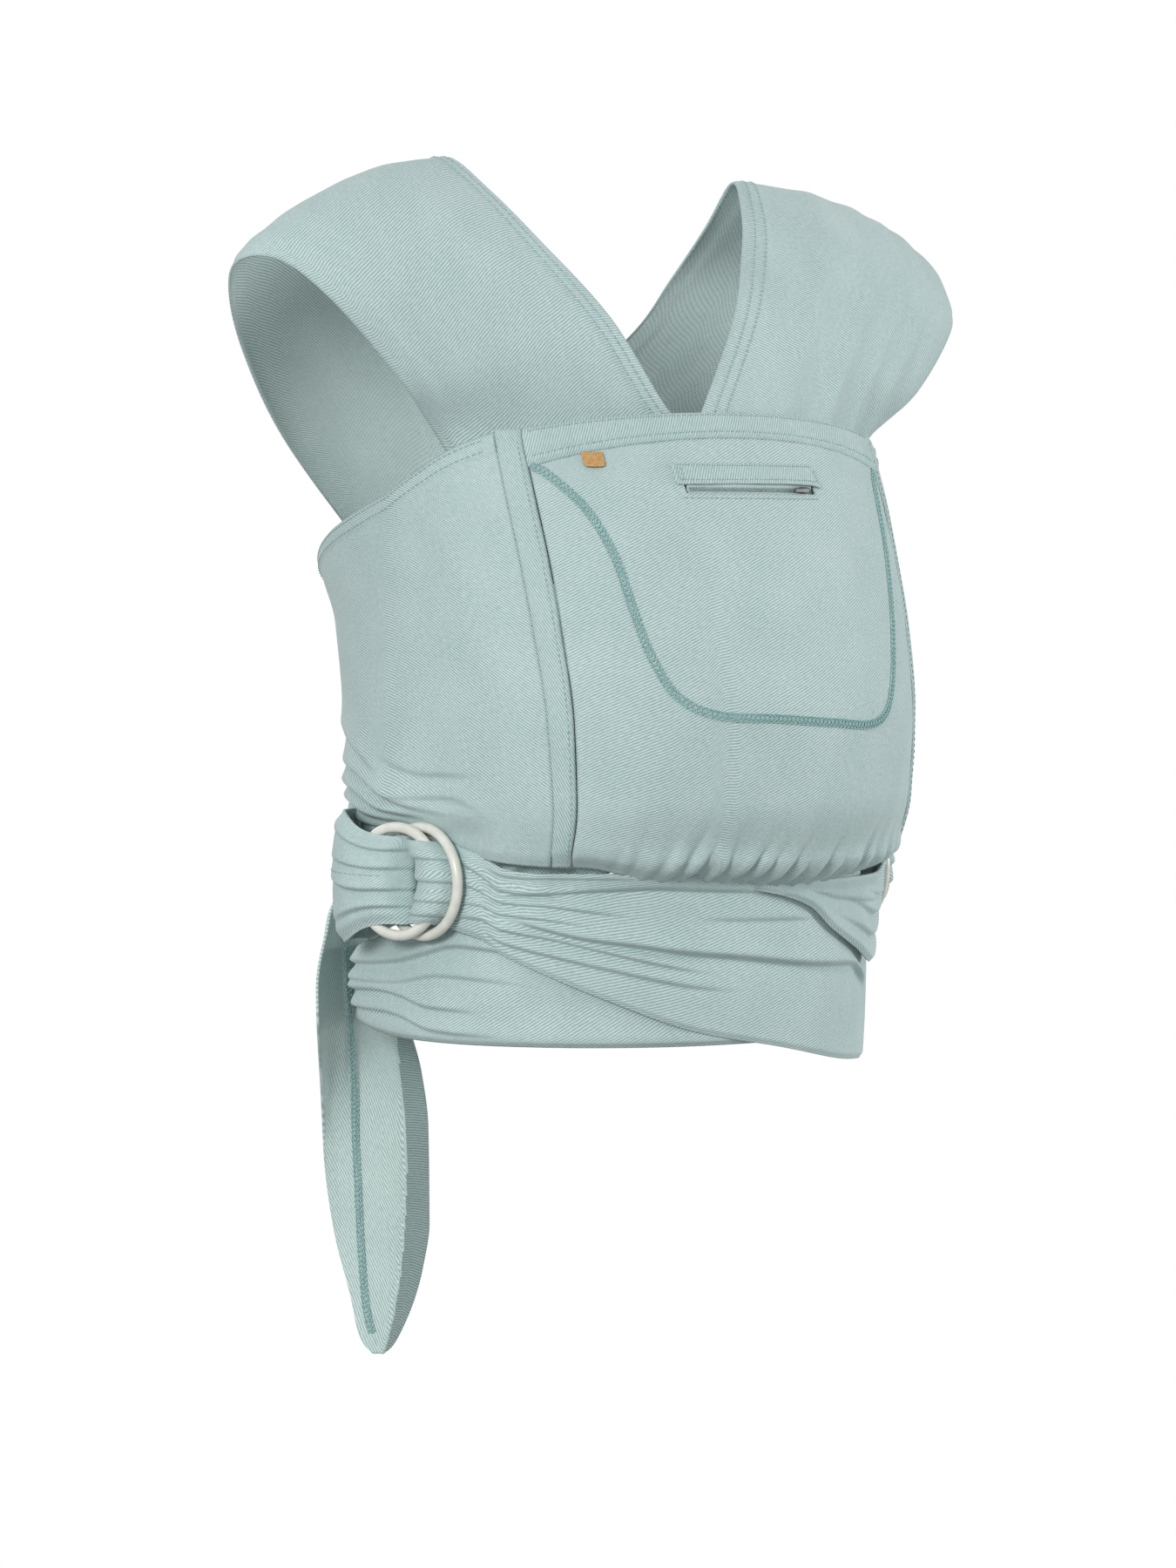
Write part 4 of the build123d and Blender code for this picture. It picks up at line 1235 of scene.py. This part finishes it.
def make_waist_straps():
    plans = (
        (
            "right", -1, FAN_START, 78.0, fan_low, fan_high, RIGHT_FOLDS, right_lift,
            (150, 360), (0.115, 0.43, 0.031),
        ),
        (
            "left", 1, -FAN_START, -2.0, left_low, left_high, LEFT_FOLDS, left_lift,
            (90, 260), (0.05, 0.24, 0.0092),
        ),
    )
    for name, side, start, end, low, high, folds, lift, (rows, cols), flat in plans:
        place = strap_through_rings(side, start, end, low, high, folds, lift)
        outer = surface(place, rows, cols)
        obj = cloth(f"waist_strap_{name}", outer, CLOTH, CLOTHS)
        hip_point(30, 0, side)
        hip_point(58, -8, side)
        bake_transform(obj)
        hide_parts(f"waist_fan_{name}", f"ring_tongue_{name}")


# Folds of a loop round its rings: share of its width, drift towards the hip, depth.
ANCHOR_FOLDS = [(0.62, 0.02, 2.8), (0.38, 0.10, 3.6), (0.19, -0.02, 2.8), (0.83, 0.02, 2.4)]


def make_anchor(name, side):
    def place(s, t):
        run = t * ANCHOR_LENGTH
        along, away, ahead, aside = path_frame(ANCHOR, run)
        half = 23.5 + 12.0 * ramp(-along, 14, 56)
        z = mix(-half + 1.0, half, s)
        outer_part = ramp(ANCHOR_LENGTH - run, ANCHOR_LENGTH * 0.42, ANCHOR_LENGTH * 0.5)
        relief = 0.0
        for level, drift, depth in ANCHOR_FOLDS:
            line = level + drift * ramp(-along, 20, 60)
            weight = mix(1.0, 0.22, ramp(-along, 26, 60))
            relief = relief + weight * fold((s - line) * 2 * half, depth, 5.5, 0.6)
        relief = relief - 3.4 * fall(np.minimum(s, 1 - s) * 2 * half, 0.0, 7.0)
        relief = relief + 2.6 * np.sin(np.pi * s) * outer_part
        push = relief * mix(0.35, 1.0, outer_part)
        hug = -0.55 * arc_shift(np.clip(z, -24, 24)) * bell(along, -13, 9)
        return at_hip(along - aside * push + hug, away + ahead * push, z, side)

    outer = surface(place, 96, 190)
    centre = tuple(at_hip(-40, 8, 0.0, side))
    obj = cloth(f"anchor_loop_{name}_cloth", outer, CLOTH, (FACE, FACE), inside=centre)
    hip_point(-58, 6, side)
    hip_point(-22, 12, side)
    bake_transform(obj)
    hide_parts(f"anchor_loop_{name}")
    t = np.linspace(0.05, 0.5, 120)
    found = sewn(place, [(0.55, t)], centre)
    seam = sew(f"anchor_loop_{name}_stitches", found, radius=0.28, body=None)
    hip_point(-58, 6, side)
    hip_point(-22, 12, side)
    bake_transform(seam)


def make_hips():
    for name, side in (("right", -1), ("left", 1)):
        make_ring(f"{name}_front_ring", FRONT_RING, side, f"ring_{name}_front_spin", f"ring_{name}_front")
        make_ring(f"{name}_rear_ring", REAR_RING, side, f"ring_{name}_rear_spin", f"ring_{name}_rear")
        make_anchor(name, side)
    make_waist_straps()


# ---- waist band and cross loop -------------------------------------------------

BAND_START = -113.0
BAND_TOP_LINE = [(-113, -36), (-98, -25), (-84, -18), (-71, -14), (-58, -18), (-40, -38), (254, -38)]
BAND_BOTTOM_LINE = [(-113, -71), (-104, -76.5), (-92, -78.4), (-60, -78.6), (0, -79), (254, -79)]
BAND_FOLDS = [
    ([(-114, -43), (-98, -40), (-82, -33), (-71, -28), (-50, -32)], 4.2, 6.0, 0.5, 10),
    ([(-114, -51), (-96, -50), (-76, -44), (-50, -47)], 2.6, 5.0, 0.5, 18),
    ([(-114, -57), (-98, -55), (-80, -61), (-62, -62)], 4.8, 5.5, 0.5, 16),
    ([(-114, -66), (-98, -66), (-78, -73), (-56, -74.5)], 4.0, 5.0, 0.5, 18),
    ([(60, -56), (110, -54), (150, -58), (200, -56)], 1.6, 8.0, 20, 30),
    ([(120, -68), (170, -66), (230, -70)], 1.4, 7.0, 20, 20),
]


def waist_place(s, t):
    angle = mix(BAND_START, 252.0, t)
    bottom = curve(angle, BAND_BOTTOM_LINE)
    z = mix(bottom, curve(angle, BAND_TOP_LINE), s)
    lift = -6.6 + creases(angle, z, BAND_FOLDS) + slack(angle * MM_PER_DEGREE, z, 0.7)
    lift = lift + 1.3 * bell(z - bottom, 5, 5) - 2.2 * fall(z - bottom, 0.0, 3.0)
    lift = lift + 4.2 * fall(angle, BAND_START, -90) * np.sin(np.pi * s)
    lift = lift + 1.5 * bell(angle, -106, 7) - 5.0 * fall(angle, BAND_START, -109.5)
    lift = lift - 5.0 * ramp(angle, 228, 240)
    lift = lift - 2.0 * ramp(angle, -58, -46) * fall(angle, 74, 84) * ramp(z, -70, -55)
    return on_body(angle, z, lift)


def make_waist_band():
    outer = surface(waist_place, 72, 440)
    obj = cloth("waist_band_cloth", outer, CLOTH, CLOTHS)
    placed(obj, "cloth", "waist_band")

    def loop_place(s, t):
        angle = mix(165.0, 195.0, t)
        z = mix(156.0, 200.0, s)
        lift = -6.4 + 1.2 * np.sin(np.pi * s) ** 0.6 - 1.6 * fall(np.minimum(t, 1 - t), 0, 0.08)
        return on_body(angle, z, lift + 0.3 * np.sin(z / 4.0) * bell(np.abs(t - 0.5), 0.5, 0.15))

    loop = cloth("back_loop_cloth", surface(loop_place, 36, 50), 1.6, (HEM, BACK))
    placed(loop, "cloth", "back_cross_loop")
    t = np.linspace(0.03, 0.97, 60)
    s = np.linspace(0.05, 0.95, 40)
    rows = [(0.08, t), (0.92, t), (s, 0.05), (s, 0.95)]
    sew("back_loop_stitches", sewn(loop_place, rows, (0, 0, 180)))


# ---- hanging tail --------------------------------------------------------------

TAIL_FRONT_EDGE = [
    (-257, -149.6), (-253, -146.5), (-248, -144.0), (-228, -139), (-201, -132), (-171, -126), (-142, -121.5),
    (-106, -119), (-80, -119), (-30, -122), (8, -128),
]
TAIL_SEAM = [(-257, -151), (-230, -146), (-200, -143.5), (-161, -142), (-98, -138), (-31, -135), (8, -136)]
TAIL_BACK_EDGE = [
    (-257, -152.4), (-254, -155), (-246, -158), (-230, -162), (-214, -164.5), (-190, -166.5), (-139, -166),
    (-110, -164), (-86, -160.5), (-45, -156), (8, -150),
]
TAIL_FOLD = [
    (-257, -152), (-240, -155), (-200, -158.5), (-160, -159.5), (-100, -156.5), (-60, -152), (8, -148),
]


TAIL_LOW, TAIL_HIGH = -257.0, 36.0
TAIL_GRID = (200, 72)
TAIL_CLOTH = 1.5
TAIL_LIFT = 4.2
TAIL_TUCK_LIFT = -9.5
TAIL_HANG_DEPTH = 52.0
TAIL_TURN, LEAF_TURN = 0.42, 1.7
TAIL_DROP = 9.0
# Level directions for the hanging part, which turns to the front right: away and across.
TAIL_DEPTH = np.array([0.559, 0.829, 0.0])
TAIL_ACROSS = np.array([0.829, -0.559, 0.0])


def tail_spot(angle, z, lift):
    curl = 9.0 * ramp(angle, -140, -119) * ramp(-z, -8, 60)
    spot = on_body(angle, -60.0 + 0 * z, lift + curl)
    return np.stack([spot[..., 0], spot[..., 1], z * 1.0 + 0 * spot[..., 0]], -1)


def tail_place(s, t):
    z = mix(TAIL_LOW, TAIL_HIGH, s)
    first, last = curve(z, TAIL_BACK_EDGE), curve(z, TAIL_FRONT_EDGE)
    angle = mix(first, last, t)
    seam, crease = curve(z, TAIL_SEAM), curve(z, TAIL_FOLD)
    lift = TAIL_LIFT - 0.9 * bell(angle, seam, 0.55) + 0.5 * slack(angle * 2.2, z, 1.0)
    beyond = np.maximum(crease - angle, 0)
    lift = lift - 1.2 * bell(angle, crease, 0.8) * ramp(-z, 40, 90) * (beyond == 0)
    lift = lift + 0.9 * bell(angle, mix(seam, last, 0.5), 2.6) * ramp(-z, 0, 80)
    lift = lift + 1.2 * np.sin(angle * 0.9 + 1.0) * fall(-z, -8, 60)
    tucked = ramp(z, -22, 24)
    under_wing = on_body(angle, z, TAIL_TUCK_LIFT + 0 * z)
    spot = mix(tail_spot(angle, z, lift), under_wing, tucked[..., None])
    corner = tail_spot(crease, z, TAIL_LIFT)
    across = spot @ TAIL_ACROSS
    depth = spot @ TAIL_DEPTH
    ahead = across - corner @ TAIL_ACROSS
    hung = TAIL_HANG_DEPTH - TAIL_TURN * np.minimum(ahead, 0) + LEAF_TURN * np.maximum(ahead, 0)
    hung = hung + 1.6 * np.sin(ahead / 7.0) * (ahead < 0) + 2.5 * np.sin(z / 40.0)
    change = (hung - depth) * 0.9 * ramp(-z, 66, 150)
    spot = spot + change[..., None] * TAIL_DEPTH
    return spot - np.array([0, 0, TAIL_DROP]) * ramp(-z, 60, -TAIL_LOW)[..., None]


def make_tail():
    outer = surface(tail_place, *TAIL_GRID)
    obj = cloth("tail_strap", outer, TAIL_CLOTH, (TAIL_FACE, TAIL_FACE, PAINTED_SHADE_LEAF))
    rows, cols = TAIL_GRID
    s, t = np.meshgrid(np.linspace(0, 1, rows), np.linspace(0, 1, cols), indexing="ij")
    z = mix(TAIL_LOW, TAIL_HIGH, s)
    angle = mix(curve(z, TAIL_BACK_EDGE), curve(z, TAIL_FRONT_EDGE), t)
    # faces beyond the fold get the darker leaf material: painted shade on the leaf that curls away
    beyond = np.tile((angle < curve(z, TAIL_FOLD) - 0.3).ravel(), 2)
    for face in obj.data.polygons:
        if all(beyond[k] for k in face.vertices):
            face.material_index = 2
    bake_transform(obj)
    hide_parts("tail_front_panel", "tail_back_panel")
    z = np.linspace(-246.0, 18.0, 270)
    lines = {}
    for name, shift in (("outer", 0.2), ("inner", -1.75)):
        seam, first, last = curve(z, TAIL_SEAM), curve(z, TAIL_BACK_EDGE), curve(z, TAIL_FRONT_EDGE)
        along = (z - TAIL_LOW) / (TAIL_HIGH - TAIL_LOW)
        across = (seam - first) / (last - first)
        points, out = path_on(tail_place, along, across, (0, 0, -100))
        points = points + out * shift
        out = out if name == "outer" else -out
        lines[name] = cover_stitch(f"tail_cover_seam_{name}", points, out, 4.0)
    for made in lines.values():
        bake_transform(made)
    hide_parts("tail_cover_stitch")


# ---- stage ---------------------------------------------------------------------


WHITE = (1, 1, 1, 1)


def make_stage():
    floor_z = -0.36
    reach = 14.0
    count = 9
    ticks = np.linspace(-reach, reach, count)
    verts = [(x / MM, y / MM, floor_z / MM) for y in ticks for x in ticks]
    faces = []
    for i in range(count - 1):
        for k in range(count - 1):
            a = i * count + k
            faces.append((a, a + 1, a + count + 1, a + count))
    floor_material = speckled("floor_white", (0.34, 0.34, 0.34, 1), (0.32, 0.32, 0.32, 1), 3, 0.9, 0.02)
    tree = floor_material.node_tree
    shader = tree.nodes["Principled BSDF"].outputs[0]
    glow = node(tree, "ShaderNodeEmission", {"Color": WHITE, "Strength": 1.0}).outputs[0]
    for_camera(tree, shader, glow, "Material Output")
    floor = make_object("studio_floor", verts, faces, None, None, [floor_material])


def make_light(name, spot, aim, size, power, colour=(1, 1, 1)):
    data = bpy.data.lights.new(name, "AREA")
    data.shape = "DISK"
    data.size = size
    data.energy = power
    data.color = colour
    obj = bpy.data.objects.new(name, data)
    bpy.context.scene.collection.objects.link(obj)
    obj.location = spot
    obj.rotation_euler = (Vector(aim) - Vector(spot)).to_track_quat("-Z", "Y").to_euler()


AMBIENT = 0.64


def make_lights():
    world = bpy.data.worlds.new("studio")
    bpy.context.scene.world = world
    world.use_nodes = True
    tree = world.node_tree
    background = tree.nodes["Background"]
    feed(tree, background, {"Color": WHITE, "Strength": AMBIENT})
    plain = node(tree, "ShaderNodeBackground", {"Color": WHITE, "Strength": 1.0})
    for_camera(tree, background.outputs[0], plain.outputs[0], "World Output")
    make_light("key", (-2.5, -1.7, 0.9), (0, 0, -0.05), 0.8, 52)
    make_light("side", (2.4, -1.2, 0.2), (0, 0, 0.0), 0.8, 34)
    make_light("back", (0.6, 2.8, 1.0), (0, 0, 0.05), 0.9, 16)
    make_light("low", (-0.9, -2.6, -1.4), (0, 0, -0.05), 0.9, 12)


CAMERA_AZIMUTH = -34.0
CAMERA_ELEVATION = 2.5
CAMERA_DISTANCE = 2.6
CAMERA_LENS = 110.24
CAMERA_AIM = (-0.01745, 0.0528)


def make_camera():
    azimuth, elevation = np.radians(CAMERA_AZIMUTH), np.radians(CAMERA_ELEVATION)
    level = np.cos(elevation)
    forward = Vector((-np.sin(azimuth) * level, np.cos(azimuth) * level, -np.sin(elevation)))
    right = forward.cross(Vector((0, 0, 1))).normalized()
    up = right.cross(forward)
    data = bpy.data.cameras.new("camera")
    data.lens = CAMERA_LENS
    data.sensor_width = 36.0
    camera = bpy.data.objects.new("camera", data)
    bpy.context.scene.collection.objects.link(camera)
    across, rise = CAMERA_AIM
    spot = -forward * CAMERA_DISTANCE + right * across + up * rise
    axes = Matrix((right, up, -forward)).transposed().to_4x4()
    camera.matrix_world = Matrix.Translation(spot) @ axes
    bpy.context.scene.camera = camera


make_camera()
make_lights()
make_stage()
make_strap("right")
make_strap("left")
make_panel()
make_top_band()
make_side_bands()
make_pocket()
make_welt()
make_zip()
make_tab()
make_wings()
make_hips()
make_waist_band()
make_tail()
bpy.context.scene.view_settings.view_transform = "Standard"
